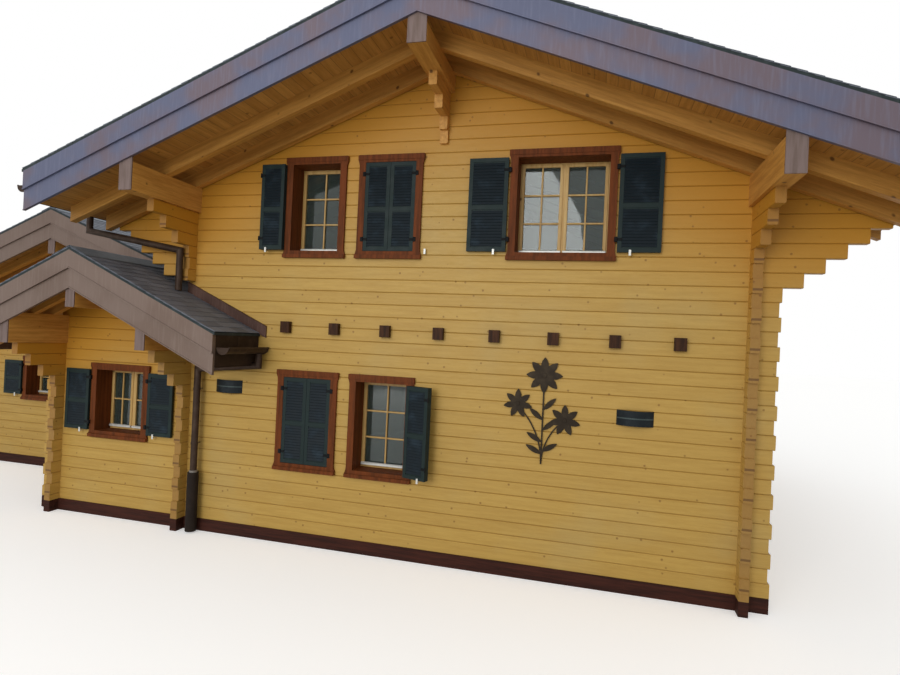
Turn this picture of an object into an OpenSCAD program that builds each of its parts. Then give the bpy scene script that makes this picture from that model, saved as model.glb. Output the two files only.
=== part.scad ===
// Timber chalet of planed squared logs: main block with a low gable,
// a front bay with its own small gable, and a lower wing set back.
// Millimetres, +Z up, X along the front gable wall, the front faces -Y.

/* [Log walls] */
// Height of one log course
course_h = 160; // [120:5:220]
// Thickness of the logs
wall_t = 100; // [80:5:220]
// Thickness of the insulation and boarding behind the logs
lining_t = 250; // [50:10:400]
// Depth of the groove between two courses
groove_d = 9; // [4:1:20]
// Half height of that groove
groove_h = 8; // [4:1:20]
// How far gable log ends stand out past a corner
end_out = 235; // [80:5:300]
// How far side log ends stand in front of a gable wall
front_out = 165; // [80:5:300]
// How much shorter every second log end is
end_short = 25; // [0:5:100]
// Outward step of each corbelled log under the eaves
corbel_step = 200; // [80:10:300]
// Height of the base board
plinth_h = 165; // [80:5:400]
// How far the base board stands proud of the wall
plinth_out = 18; // [5:1:60]

/* [Main block] */
// Half width over the outer wall faces
main_half = 3625; // [2500:5:6000]
// Depth over the outer wall faces
main_depth = 8800; // [5000:50:14000]
// Slope of the main roof, rise per run
main_slope = 0.395; // [0.2:0.005:1]
// Height of the roof's highest line above the base board
main_top = 6530; // [4500:10:9000]
// Half width of the roof at the eaves
main_eave = 5080; // [3500:10:7000]
// Overhang in front of and behind the gable walls
main_over = 1240; // [400:10:2000]
// First course that steps outward under the eaves
corbel_from = 21; // [10:1:40]

/* [Front bay] */
// Distance of the bay's ridge line left of the main ridge line
bay_shift = 4690; // [4000:5:6000]
// Half width of the bay over its outer wall faces
bay_half = 1130; // [800:5:1800]
// Slope of the bay roof, rise per run
bay_slope = 0.455; // [0.2:0.005:1]
// Height of the bay roof's highest line above the base board
bay_top = 3600; // [2500:10:5000]
// Half width of the bay roof at the eaves
bay_eave = 2200; // [1500:10:3000]
// Overhang in front of the bay wall
bay_over = 900; // [300:10:1500]

/* [Wing] */
// Distance of the wing's ridge line left of the main ridge line
wing_shift = 7200; // [6000:10:9000]
// Half width over the wing's outer wall faces
wing_half = 2900; // [2000:10:4000]
// Distance of the wing's front wall behind the main front wall
wing_front = 1900; // [1000:10:3000]
// Depth of the wing over its outer wall faces
wing_depth = 5600; // [3000:50:8000]
// Height of the wing roof's highest line above the base board
wing_top = 4570; // [3500:10:6000]
// Overhang of the wing roof in front and behind
wing_over = 950; // [300:10:1500]
// Overhang of the wing roof at its free side
wing_side_over = 750; // [300:10:1200]

/* [Roof build-up] */
// Vertical thickness of the roofing
cover_t = 30; // [10:5:100]
// Vertical thickness of boarding and insulation on the main roof
main_deck = 350; // [60:5:400]
// The same on the bay roof
bay_deck = 230; // [60:5:400]
// The same on the wing roof
wing_deck = 300; // [60:5:400]
// Vertical depth of a main rafter
main_rafter = 200; // [80:5:300]
// Vertical depth of a rafter on the bay and the wing
small_rafter = 150; // [80:5:300]
// Width of a rafter
rafter_w = 100; // [60:5:200]
// Vertical height of an upper bargeboard
board_up = 235; // [120:5:400]
// Vertical height of a lower bargeboard
board_low = 255; // [120:5:400]
// Thickness of a lower bargeboard
board_t = 35; // [15:1:80]
// Extra thickness of an upper bargeboard
board_step = 22; // [5:1:60]

/* [Rainwater] */
// Radius of a gutter
gutter_r = 80; // [50:5:120]
// Radius of a downpipe
pipe_r = 45; // [30:5:70]

/* [Openings] */
// Width of a single window opening
win_w = 680; // [400:10:1200]
// Height of a window opening
win_h = 1140; // [600:10:1600]
// Width of a double window opening
wide_w = 1070; // [800:10:2000]
// Height of the lower storey's openings above the base board
low_z = 900; // [600:10:1200]
// Height of the upper storey's openings above the base board
up_z = 3720; // [3300:10:4200]
// Width of a casing board round an opening
casing_w = 88; // [50:2:160]
// Thickness of a casing board
casing_t = 35; // [15:1:60]
// Thickness of the boards that line an opening behind its casing
reveal_t = 20; // [10:1:40]
// Depth of a window frame behind the face of the wall
frame_y = 250; // [40:5:280]
// Visible width of a window frame
frame_w = 48; // [30:1:80]
// Thickness of a shutter leaf
leaf_t = 36; // [20:1:60]

/* [Floor] */
// Height of the joists' middle above the base board
joist_z = 2700; // [2300:10:3200]
// Spacing of the joists
joist_gap = 702; // [400:2:1000]
// Position of the first joist
joist_first = -2064; // [-3000:2:-1000]
// Joist width
joist_w = 130; // [80:5:200]
// Joist height
joist_h = 150; // [80:5:250]

/* [Hidden] */
tiny = 1;
half_h = course_h / 2;
lap = course_h / 4;
full_t = wall_t + lining_t;
main_in = main_half - wall_t;
room_half = main_half - full_t;
main_under = main_top - cover_t - main_deck;
main_bear = main_under - main_rafter;
purlin_w = 180;
purlin_x = main_half - wall_t / 2;
ridge_w = 210;
ridge_z = 5700;
main_logs = 26;
purlin_z = main_logs * course_h + half_h;
small_beam = 140;

bay_left = -bay_shift - bay_half;
bay_in = bay_left + wall_t;
bay_room = bay_left + full_t;
bay_logs = 14;
bay_under = bay_top - cover_t - bay_deck;
bay_bear = bay_under - small_rafter;
bay_purlin_z = bay_logs * course_h + half_h;
bay_purlin_x = bay_left + wall_t / 2;
bay_ridge_z = 2830;
bay_end = 880;

wing_left = -wing_shift - wing_half;
wing_in = wing_left + wall_t;
wing_room = wing_left + full_t;
wing_logs = 16;
wing_rear = wing_front + wing_depth;
wing_under = wing_top - cover_t - wing_deck;
wing_bear = wing_under - small_rafter;
wing_purlin_z = wing_logs * course_h + half_h;
wing_purlin_x = wing_left + wall_t / 2;
wing_ridge_z = 3790;
wing_eave = wing_half + wing_side_over;
wing_run = wing_shift - main_half;
wing_skirt = wing_top - cover_t - board_up - board_low;

gutter_t = 5;
gutter_off = gutter_r + 10;
gutter_drop = 190;

// The frame's origin is the middle of the whole outline, at the ground.
x_min = -wing_shift - wing_eave - gutter_off - gutter_r;
x_max = main_eave + gutter_off + gutter_r;
y_min = -main_over - board_t - board_step;
y_max = main_depth - y_min;
origin = [(x_min + x_max) / 2, (y_min + y_max) / 2, 0];

// Openings: middle along the wall, sill height, width, height.
upper_left = [-1720, up_z, win_w, win_h];
upper_mid = [-685, up_z, win_w, win_h];
upper_wide = [1475, up_z, wide_w, win_h];
lower_left = [-1720, low_z, win_w, win_h];
lower_mid = [-685, low_z, win_w, win_h];
lower_wide = [1475, low_z, wide_w, win_h];
bay_window = [-bay_shift - 15, 1070, 810, 890];
wing_window = [-8400, 1180, 700, 660];
wing_back_window = [-7200, low_z, wide_w, win_h];
rear_door = [0, 0, 950, 2050];
front_windows = [upper_left, upper_mid, upper_wide, lower_left, lower_mid];
rear_windows = [upper_left, upper_wide, lower_left, lower_wide];
side_windows = [[2600, low_z, win_w, win_h], [6200, low_z, win_w, win_h]];
wing_side_windows = [[wing_front + wing_depth / 2, low_z, win_w, win_h]];

// Places a node in the shared frame, with the base board's top at zero.
module put() {
    translate([-origin[0], -origin[1], plinth_h]) children();
}

// Puts children on a wall whose outer face looks along +Y at y.
module facing_back(y) {
    translate([0, y, 0]) mirror([0, 1, 0]) children();
}

// Puts children, drawn for a front wall, on a wall that looks along side * X at x.
module facing_side(x, side) {
    translate([x, 0, 0]) multmatrix([[0, -side, 0, 0], [1, 0, 0, 0], [0, 0, 1, 0], [0, 0, 0, 1]]) children();
}

// Extrudes a Y-Z outline along X.
module along_x(x0, x1) {
    translate([x0, 0, 0]) rotate([90, 0, 90]) linear_extrude(height = x1 - x0) children();
}

// Extrudes an X-Z outline along Y.
module along_y(y0, y1) {
    translate([0, y1, 0]) rotate([90, 0, 0]) linear_extrude(height = y1 - y0) children();
}

module block(x0, x1, y0, y1, z0, z1) {
    translate([x0, y0, z0]) cube([x1 - x0, y1 - y0, z1 - z0]);
}

// One face of a stack of logs, with a groove at every joint.
function face_up(face, inward, first, last, offset) = [
    for (k = [first : last]) each [
        [face, k * course_h + offset - groove_h],
        [face + inward * groove_d, k * course_h + offset],
        [face, k * course_h + offset + groove_h]
    ]
];

// Section through the logs from the base to z1, grooved on the outer face, with joints at whole courses
// plus an offset.
module wall_section(outer, inward, z1, offset) {
    first = offset > 0 ? 0 : 1;
    last = ceil((z1 - offset) / course_h) - 1;
    polygon(concat(
        [[outer, 0]],
        face_up(outer, inward, first, last, offset),
        [[outer, z1], [outer + inward * wall_t, z1], [outer + inward * wall_t, 0]]
    ));
}

// Section of one log with chamfered edges.
module log_section(a, z0, z1) {
    polygon([
        [a, z0 + groove_h], [a + groove_d, z0], [a + wall_t - groove_d, z0], [a + wall_t, z0 + groove_h],
        [a + wall_t, z1 - groove_h], [a + wall_t - groove_d, z1], [a + groove_d, z1], [a, z1 - groove_h]
    ]);
}

// Everything above a gable line, used to cut walls to the roof.
module above_roof(mid, under, slope, y0, y1) {
    far = main_eave;
    along_y(y0, y1) polygon([
        [mid - far, under - slope * far], [mid, under], [mid + far, under - slope * far],
        [mid + far, under + far], [mid - far, under + far]
    ]);
}

// A sloping slab on one side of a ridge, between two lines given by their height at the ridge.
module slope_slab(mid, side, run0, run1, low, high, slope, y0, y1) {
    along_y(y0, y1) polygon([
        [mid + side * run0, low - slope * run0], [mid + side * run1, low - slope * run1],
        [mid + side * run1, high - slope * run1], [mid + side * run0, high - slope * run0]
    ]);
}

// A beam along Y whose top is planed to a sloping line.
module beam(x, w, z, mid, under, slope, y0, y1) {
    a = x - w / 2;
    b = x + w / 2;
    peak = a < mid && b > mid ? [[mid, under]] : [];
    along_y(y0, y1) polygon(concat(
        [[a, z], [b, z], [b, under - slope * abs(b - mid)]], peak, [[a, under - slope * abs(a - mid)]]
    ));
}

// A pair of slabs meeting at the ridge, with its own run to the left and to the right.
module chevron(mid, left, right, low, high, slope, y0, y1) {
    along_y(y0, y1) polygon([
        [mid, low], [mid + right, low - slope * right], [mid + right, high - slope * right],
        [mid, high], [mid - left, high - slope * left], [mid - left, low - slope * left]
    ]);
}

// The hole that a wall needs for an opening and the boards that line it.
function framed(w) = let (below = w[1] > 0 ? reveal_t : 0)
    [w[0], w[1] - below, w[2] + 2 * reveal_t, w[3] + reveal_t + below];

module opening_x(w, y0, y1) {
    block(w[0] - w[2] / 2, w[0] + w[2] / 2, y0, y1, w[1], w[1] + w[3]);
}

module opening_y(w, x0, x1) {
    block(x0, x1, w[0] - w[2] / 2, w[0] + w[2] / 2, w[1], w[1] + w[3]);
}

// How far gable log k reaches past the corner: every second one is shorter, and the last ones step outward
// under the eaves.
function gable_reach(k) = k < corbel_from
    ? end_out - (k % 2) * end_short
    : min(end_out + (k - corbel_from + 1) * corbel_step, main_eave - main_half - corbel_step);

// How far side log k reaches past the gable wall, stepping forward in the last few courses under a purlin.
function side_reach(k, top, count, step) =
    max(front_out - (k % 2) * end_short, front_out + (count - top + k) * step);

function side_ends(first, logs, count, step) =
    [for (k = [first : logs - 1]) [k, side_reach(k, logs - 1, count, step)]];

function main_ends(first) = side_ends(first, main_logs, 3, 225);

// Laps of the gable logs where a side wall crosses them.
module gable_laps(x, logs) {
    for (k = [0 : logs - 1])
        block(x, x + wall_t, 0, wall_t, k * course_h + lap, (k + 1) * course_h - lap);
}

// Laps of the side logs in the same square, filling what the gable logs leave.
module side_laps(x, y, logs) {
    block(x, x + wall_t, y, y + wall_t, 0, lap);
    for (k = [1 : logs - 1])
        block(x, x + wall_t, y, y + wall_t, k * course_h - lap, k * course_h + lap);
    block(x, x + wall_t, y, y + wall_t, logs * course_h - lap, logs * course_h + half_h);
}

// Ends of gable logs beyond a corner at x, on the side given.
module gable_ends(x, side, from, to) {
    for (k = [from : to])
        if (side > 0)
            along_x(x, x + gable_reach(k)) log_section(0, k * course_h, (k + 1) * course_h);
        else
            along_x(x - gable_reach(k), x) log_section(0, k * course_h, (k + 1) * course_h);
}

// Ends of side logs in front of y, for the courses in the list, with their lengths.
module side_ends_front(x, y, ends) {
    for (e = ends)
        along_y(y - e[1], y) log_section(x, e[0] * course_h + half_h, (e[0] + 1) * course_h + half_h);
}

module side_ends_rear(x, y, ends) {
    for (e = ends)
        along_y(y, y + e[1]) log_section(x, e[0] * course_h + half_h, (e[0] + 1) * course_h + half_h);
}

// A gable wall with its face at y = 0: logs, inner leaf, laps and log ends, cut to the roof and for beams
// and windows.
module gable_wall(cuts, left_from) {
    last = ceil(main_under / course_h);
    difference() {
        union() {
            along_x(-main_in, main_in) wall_section(0, 1, main_under, 0);
            block(-main_in, main_in, wall_t, full_t, 0, main_under);
            gable_laps(main_in, main_logs);
            gable_laps(-main_half, main_logs);
            gable_ends(main_half, 1, 0, last);
            gable_ends(-main_half, -1, left_from, last);
            for (x = [-main_half, main_in]) block(x, x + wall_t, 0, wall_t, purlin_z, main_under);
        }
        above_roof(0, main_under, main_slope, -tiny, full_t + tiny);
        for (w = cuts) opening_x(framed(w), -tiny, full_t + tiny);
        for (s = [-1, 1])
            beam(s * purlin_x, purlin_w, purlin_z, 0, main_bear, main_slope, -tiny, full_t + tiny);
        beam(0, ridge_w, ridge_z, 0, main_bear, main_slope, -tiny, full_t + tiny);
    }
}

// The right side wall, with its courses half a log higher than the gable walls'.
module side_wall(front_ends, cuts) {
    difference() {
        union() {
            along_y(wall_t, main_depth - wall_t) wall_section(main_half, -1, purlin_z, half_h);
            side_laps(main_in, 0, main_logs);
            side_laps(main_in, main_depth - wall_t, main_logs);
            side_ends_front(main_in, 0, front_ends);
            side_ends_rear(main_in, main_depth, main_ends(0));
            block(main_in, main_half, -front_out, 0, 0, half_h);
            block(main_in, main_half, main_depth, main_depth + front_out, 0, half_h);
            side_lining();
        }
        for (w = cuts) opening_y(framed(w), room_half - tiny, main_half + tiny);
    }
}

// Inner leaf of the right side wall, up to the rafters and beside the purlin.
module side_lining() {
    y0 = full_t;
    y1 = main_depth - full_t;
    difference() {
        block(room_half, main_in, y0, y1, 0, main_bear);
        above_roof(0, main_bear, main_slope, y0 - tiny, y1 + tiny);
        beam(purlin_x, purlin_w, purlin_z, 0, main_bear, main_slope, y0 - tiny, y1 + tiny);
    }
}

module gable_wall_front() {
    color("#b0925a") put() gable_wall(front_windows, corbel_from);
}

module gable_wall_rear() {
    color("#b0925a") put() facing_back(main_depth) gable_wall(concat(rear_windows, [rear_door]), 0);
}

// Its front ends stop where the bay's purlin and roof pass.
module side_wall_left() {
    above_bay = 20;
    color("#b0925a") put() mirror([1, 0, 0])
        side_wall(concat(side_ends(0, bay_logs, 3, 180), main_ends(above_bay)), []);
}

module side_wall_right() {
    color("#b0925a") put() side_wall(main_ends(0), side_windows);
}

// Plan of the base boards' outer edge, grown by o.
module base_plan(o) {
    translate([-main_half - o, -o]) square([2 * main_half + 2 * o, main_depth + 2 * o]);
    translate([bay_left - o, -o]) square([2 * bay_half + o, wing_front + o]);
    translate([wing_left - o, wing_front - o]) square([-main_half - wing_left + o, wing_depth + 2 * o]);
}

// Plan of the rooms inside the walls.
module room_plan() {
    translate([-room_half, full_t]) square([2 * room_half, main_depth - 2 * full_t]);
    translate([bay_room, full_t]) square([-main_half - bay_room, wing_front]);
    translate([wing_room, wing_front + full_t]) square([-main_half - wing_room, wing_depth - 2 * full_t]);
}

// Plan of the base under the log ends at the corners.
module end_plan() {
    for (x = [-main_half, main_in], y = [-front_out, main_depth])
        translate([x, y]) square([wall_t, front_out]);
    for (y = [0, main_depth - wall_t]) translate([main_half, y]) square([end_out, wall_t]);
    translate([-main_half - end_out, main_depth - wall_t]) square([end_out, wall_t]);
    translate([bay_left, -front_out]) square([wall_t, front_out]);
    translate([bay_left - end_out, 0]) square([end_out, wall_t]);
    for (y = [wing_front - front_out, wing_rear]) translate([wing_left, y]) square([wall_t, front_out]);
    for (y = [wing_front, wing_rear - wall_t]) translate([wing_left - end_out, y]) square([end_out, wall_t]);
}

module plinth() {
    color("#3a2620") put() translate([0, 0, -plinth_h]) linear_extrude(height = plinth_h) {
        difference() {
            base_plan(plinth_out);
            room_plan();
        }
        end_plan();
    }
}

module ground_floor() {
    color("#8c8a86") put() translate([0, 0, -plinth_h]) linear_extrude(height = plinth_h) room_plan();
}

module upper_floor() {
    board = 40;
    z = joist_z + joist_h / 2;
    color("#a8854e") put() block(-room_half, room_half, full_t, main_depth - full_t, z, z + board);
}

last_joist = 7;

module joist(j, y0, y1) {
    x = joist_first + j * joist_gap;
    block(x - joist_w / 2, x + joist_w / 2, y0, y1, joist_z - joist_h / 2, joist_z + joist_h / 2);
}

module floor_joists() {
    color("#a8854e") put() for (j = [0 : last_joist]) joist(j, full_t, main_depth - full_t);
}

module main_beam(x, w, z) {
    beam(x, w, z, 0, main_bear, main_slope, -main_over, main_depth + main_over);
}

module ridge_beam() {
    color("#a8854e") put() main_beam(0, ridge_w, ridge_z);
}

module wall_purlins() {
    color("#a8854e") put() for (s = [-1, 1]) main_beam(s * purlin_x, purlin_w, purlin_z);
}

// Short cross logs that step forward under the ridge beam.
module ridge_corbels() {
    reach = [620, 355, 100, 50];
    color("#a8854e") put() for (i = [0 : len(reach) - 1]) {
        z1 = ridge_z - i * course_h;
        along_y(-reach[i], 0) log_section(-wall_t / 2, z1 - course_h, z1);
        along_y(main_depth, main_depth + reach[i]) log_section(-wall_t / 2, z1 - course_h, z1);
    }
}

module rafters() {
    gap = 945;
    inner = [for (i = [0 : 8]) 560 + i * gap];
    flying = [25, 600];
    front = [for (f = flying) -f - rafter_w];
    rear = [for (f = flying) main_depth + f];
    spots = concat(front, inner, rear);
    color("#a8854e") put() for (s = [-1, 1], y = spots)
        slope_slab(0, s, tiny, main_eave - rafter_w, main_bear, main_under, main_slope, y, y + rafter_w);
}

module roof_deck_left() {
    color("#9a9184") put() slope_slab(0, -1, 0, main_eave, main_under, main_top - cover_t, main_slope,
        -main_over, main_depth + main_over);
}

module roof_deck_right() {
    color("#9a9184") put() slope_slab(0, 1, 0, main_eave, main_under, main_top - cover_t, main_slope,
        -main_over, main_depth + main_over);
}

module roof_cover() {
    lip = 25;
    run = main_eave + lip;
    color("#3f4a49") put() chevron(0, run, run, main_top - cover_t, main_top, main_slope, y_min, y_max);
}

module main_boards(high, low, t) {
    for (y = [-main_over - t, main_depth + main_over])
        chevron(0, main_eave, main_eave, low, high, main_slope, y, y + t);
}

module bargeboards_upper() {
    top = main_top - cover_t;
    color("#776a60") put() main_boards(top, top - board_up, board_t + board_step);
}

module bargeboards_lower() {
    top = main_top - cover_t - board_up;
    color("#6f6a75") put() main_boards(top, top - board_low, board_t);
}

// Metal caps on the joists' and the beams' ends, below the bargeboards.
module beam_caps() {
    cap = 14;
    out = 70;
    main_skirt = main_top - cover_t - board_up - board_low;
    bay_skirt = bay_top - cover_t - board_up - board_low;
    color("#8a7370") put() {
        for (j = [0 : last_joist], y = [-out, main_depth]) joist(j, y, y + out);
        for (y = [-main_over - cap, main_depth + main_over]) {
            beam(0, ridge_w, ridge_z, 0, main_skirt, main_slope, y, y + cap);
            for (s = [-1, 1]) beam(s * purlin_x, purlin_w, purlin_z, 0, main_skirt, main_slope, y, y + cap);
        }
        for (b = [[-bay_shift, bay_ridge_z], [bay_purlin_x, bay_purlin_z], [-purlin_x, bay_purlin_z]])
            beam(b[0], small_beam, b[1], -bay_shift, bay_skirt, bay_slope, -bay_over - cap, -bay_over);
        for (b = [[-wing_shift, wing_ridge_z], [wing_purlin_x, wing_purlin_z]],
             y = [wing_front - wing_over - cap, wing_rear + wing_over])
            beam(b[0], small_beam, b[1], -wing_shift, wing_skirt, main_slope, y, y + cap);
    }
}

// Half-round gutter along Y with closed ends.
module gutter(x, z, y0, y1) {
    difference() {
        translate([x, y1, z]) rotate([90, 0, 0]) cylinder(r = gutter_r, h = y1 - y0);
        translate([x, y1 - gutter_t, z]) rotate([90, 0, 0])
            cylinder(r = gutter_r - gutter_t, h = y1 - y0 - 2 * gutter_t);
        block(x - 2 * gutter_r, x + 2 * gutter_r, y0 - tiny, y1 + tiny, z, z + 2 * gutter_r);
    }
}

function main_gutter_z() = main_top - main_slope * main_eave - gutter_drop;
function bay_gutter_z() = bay_top - bay_slope * bay_eave - gutter_drop;
function wing_gutter_z() = wing_top - main_slope * wing_eave - gutter_drop;

module gutters() {
    margin = 20;
    main_x = main_eave + gutter_off;
    bay_x = bay_eave + gutter_off;
    y0 = -main_over + margin;
    bay_y0 = -bay_over + margin;
    color("#4a3b33") put() {
        for (s = [-1, 1]) gutter(s * main_x, main_gutter_z(), y0, main_depth - y0);
        gutter(bay_x - bay_shift, bay_gutter_z(), bay_y0, -margin);
        gutter(-bay_x - bay_shift, bay_gutter_z(), bay_y0, wing_front - margin);
        gutter(-wing_shift - wing_eave - gutter_off, wing_gutter_z(), wing_front - wing_over + margin,
            wing_rear + wing_over - margin);
    }
}

// A half space bounded by the mitre plane of a bend, on the side given.
module mitre_side(turn, side) {
    size = 1000;
    seam = 0.3;
    low = side > 0 ? -seam : seam - size;
    rotate([0, 180 - turn / 2, 0]) translate([-size / 2, -size / 2, low]) cube(size);
}

// A pipe from its top at the origin, drawn across by run and down by fall between two upright legs.
module swan_neck(run, upper, fall, lower) {
    turn = atan2(run, fall);
    spare = 100;
    difference() {
        translate([0, 0, -upper - spare]) cylinder(r = pipe_r, h = upper + spare);
        translate([0, 0, -upper]) mitre_side(turn, 1);
    }
    difference() {
        translate([0, 0, -upper]) rotate([0, 180 - turn, 0]) translate([0, 0, -spare])
            cylinder(r = pipe_r, h = norm([run, fall]) + 2 * spare);
        translate([0, 0, -upper]) mitre_side(turn, -1);
        translate([run, 0, -upper - fall]) mitre_side(turn, 1);
    }
    difference() {
        translate([run, 0, -upper - fall - lower]) cylinder(r = pipe_r, h = lower + spare);
        translate([run, 0, -upper - fall]) mitre_side(turn, -1);
    }
}

// A pipe from a gutter's outlet at x0 that bends below it, is drawn in to x1 and goes down to z1.
module downpipe(x0, x1, y, gutter_z, upper, fall, z1) {
    top = gutter_z - gutter_r;
    translate([x0, y, top]) mirror([x1 < x0 ? 1 : 0, 0, 0])
        swan_neck(abs(x1 - x0), upper, fall, top - upper - fall - z1);
}

// The left one stands on the bay's roof, in front of the corner's log ends.
module downpipes() {
    foot = 20 - plinth_h;
    off = pipe_r + 20;
    rear_off = pipe_r + 25;
    upper = 150;
    fall = 180;
    main_x = main_eave + gutter_off;
    corner_y = -front_out - pipe_r - 5;
    corner_z = bay_top - bay_slope * (bay_shift - main_half - pipe_r);
    bay_y = -pipe_r - 70;
    color("#5a4c44") put() {
        downpipe(-main_x, -main_half, corner_y, main_gutter_z(), 300, 270, corner_z);
        downpipe(main_x, main_half + off, main_depth + rear_off, main_gutter_z(), upper, fall, foot);
        downpipe(bay_eave + gutter_off - bay_shift, -3330, bay_y, bay_gutter_z(), 160, 90, foot);
        downpipe(-wing_shift - wing_eave - gutter_off, wing_left - off, wing_rear + rear_off, wing_gutter_z(),
            upper, fall, foot);
    }
}

// Front wall of the bay, in line with the main front wall.
module bay_wall_front() {
    color("#b0925a") put() difference() {
        union() {
            along_x(bay_in, -main_half) wall_section(0, 1, bay_under, 0);
            block(bay_in, -main_half, wall_t, full_t, 0, bay_under);
            gable_laps(bay_left, bay_logs);
            gable_ends(bay_left, -1, 0, bay_logs - 1);
            block(bay_left, bay_in, 0, wall_t, bay_purlin_z, bay_under);
        }
        above_roof(-bay_shift, bay_under, bay_slope, -tiny, full_t + tiny);
        opening_x(framed(bay_window), -tiny, full_t + tiny);
        for (b = [[-bay_shift, bay_ridge_z], [bay_purlin_x, bay_purlin_z]])
            beam(b[0], small_beam, b[1], -bay_shift, bay_bear, bay_slope, -tiny, full_t + tiny);
    }
}

module bay_wall_left() {
    color("#b0925a") put() {
        along_y(wall_t, wing_front) wall_section(bay_left, 1, bay_purlin_z, half_h);
        side_laps(bay_left, 0, bay_logs);
        side_ends_front(bay_left, 0, side_ends(0, bay_logs, 3, 195));
        block(bay_left, bay_in, -front_out, 0, 0, half_h);
        bay_lining();
    }
}

// Inner leaf of the bay's left wall, up to the rafters and beside the purlin.
module bay_lining() {
    difference() {
        block(bay_in, bay_room, full_t, wing_front, 0, bay_bear);
        above_roof(-bay_shift, bay_bear, bay_slope, full_t - tiny, wing_front + tiny);
        bay_beam(bay_purlin_x, bay_purlin_z, wing_front + tiny);
    }
}

module bay_beam(x, z, y1) {
    beam(x, small_beam, z, -bay_shift, bay_bear, bay_slope, -bay_over, y1);
}

module bay_beams() {
    color("#a8854e") put() {
        bay_beam(-bay_shift, bay_ridge_z, bay_end);
        bay_beam(bay_purlin_x, bay_purlin_z, wing_front);
        bay_beam(-purlin_x, bay_purlin_z, 0);
    }
}

// The room the wing's roof takes, which the bay's roof stops at.
module wing_roof_room() {
    front = wing_front - wing_over - board_t - board_step;
    above_roof(-wing_shift, wing_skirt, main_slope, front, wing_front + tiny);
}

// One layer of the bay roof, from its ridge down both slopes, past the eaves by lip and the front by front.
module bay_layer(low, high, lip, front) {
    difference() {
        union() {
            chevron(-bay_shift, bay_eave + lip, bay_eave + lip, low, high, bay_slope, -bay_over - front, 0);
            chevron(-bay_shift, bay_eave + lip, bay_shift - main_half, low, high, bay_slope, 0, wing_front);
        }
        wing_roof_room();
    }
}

module bay_rafters() {
    width = rafter_w * 0.8;
    color("#a8854e") put() for (s = [-1, 1], y = [-560, -260])
        slope_slab(-bay_shift, s, tiny, bay_eave - rafter_w, bay_bear, bay_under, bay_slope, y, y + width);
}

module bay_roof_deck() {
    color("#9a9184") put() bay_layer(bay_under, bay_top - cover_t, 0, 0);
}

module bay_roof_cover() {
    color("#4a4e57") put() bay_layer(bay_top - cover_t, bay_top, 22, board_t + board_step);
}

fascia_t = 25;

module bay_boards(high, low, t) {
    chevron(-bay_shift, bay_eave, bay_eave, low, high, bay_slope, -bay_over - t, -bay_over);
}

module bay_bargeboards() {
    top = bay_top - cover_t;
    mid = top - board_up;
    color("#7b6d62") put() {
        bay_boards(top, mid, board_t + board_step);
        bay_boards(mid, mid - board_low, board_t);
        bay_fascia(-bay_shift + bay_eave - fascia_t, 0);
        bay_fascia(-bay_shift - bay_eave, wing_front - wing_over - board_t - board_step);
    }
}

// Upright board that closes the eave behind the gutter.
module bay_fascia(x, y1) {
    high = 170;
    z1 = bay_under - bay_slope * bay_eave;
    block(x, x + fascia_t, -bay_over, y1, z1 - high, z1);
}

// Metal strip on the main wall above the bay's roof.
module bay_flashing() {
    t = 24;
    high = 150;
    past_eave = 120;
    color("#5a3f34") put() slope_slab(-bay_shift, 1, bay_shift - main_half, bay_eave + past_eave,
        bay_top, bay_top + high, bay_slope, -t, 0);
}

// A wing gable with its face at y = 0.
module wing_gable(cuts) {
    last = ceil(wing_under / course_h);
    difference() {
        union() {
            along_x(wing_in, -main_half) wall_section(0, 1, wing_under, 0);
            block(wing_in, -main_half, wall_t, full_t, 0, wing_under);
            gable_laps(wing_left, wing_logs);
            gable_ends(wing_left, -1, 0, last);
            block(wing_left, wing_in, 0, wall_t, wing_purlin_z, wing_under);
        }
        above_roof(-wing_shift, wing_under, main_slope, -tiny, full_t + tiny);
        for (w = cuts) opening_x(framed(w), -tiny, full_t + tiny);
        for (b = [[-wing_shift, wing_ridge_z], [wing_purlin_x, wing_purlin_z]])
            beam(b[0], small_beam, b[1], -wing_shift, wing_bear, main_slope, -tiny, full_t + tiny);
    }
}

module wing_beam(x, z) {
    beam(x, small_beam, z, -wing_shift, wing_bear, main_slope, wing_front - wing_over, wing_rear + wing_over);
}

// Open to the bay in front of it, and closed above the bay's roof.
module wing_wall_front() {
    pass_h = 2240;
    color("#b0925a") put() translate([0, wing_front, 0]) difference() {
        wing_gable([wing_window]);
        block(bay_room, -main_half + tiny, -tiny, full_t + tiny, -tiny, pass_h);
    }
}

module wing_wall_rear() {
    color("#b0925a") put() facing_back(wing_rear) wing_gable([wing_back_window]);
}

module wing_wall_left() {
    ends = side_ends(0, wing_logs, 3, 190);
    color("#b0925a") put() difference() {
        union() {
            along_y(wing_front + wall_t, wing_rear - wall_t)
                wall_section(wing_left, 1, wing_purlin_z, half_h);
            side_laps(wing_left, wing_front, wing_logs);
            side_laps(wing_left, wing_rear - wall_t, wing_logs);
            side_ends_front(wing_left, wing_front, ends);
            side_ends_rear(wing_left, wing_rear, ends);
            for (y = [wing_front - front_out, wing_rear])
                block(wing_left, wing_in, y, y + front_out, 0, half_h);
            wing_lining();
        }
        for (w = wing_side_windows) opening_y(framed(w), wing_left - tiny, wing_room + tiny);
    }
}

// Inner leaf of the wing's left wall, up to the rafters and beside the purlin.
module wing_lining() {
    y0 = wing_front + full_t;
    y1 = wing_rear - full_t;
    difference() {
        block(wing_in, wing_room, y0, y1, 0, wing_bear);
        above_roof(-wing_shift, wing_bear, main_slope, y0 - tiny, y1 + tiny);
        wing_beam(wing_purlin_x, wing_purlin_z);
    }
}

module wing_beams() {
    color("#a8854e") put() {
        wing_beam(-wing_shift, wing_ridge_z);
        wing_beam(wing_purlin_x, wing_purlin_z);
    }
}

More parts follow.
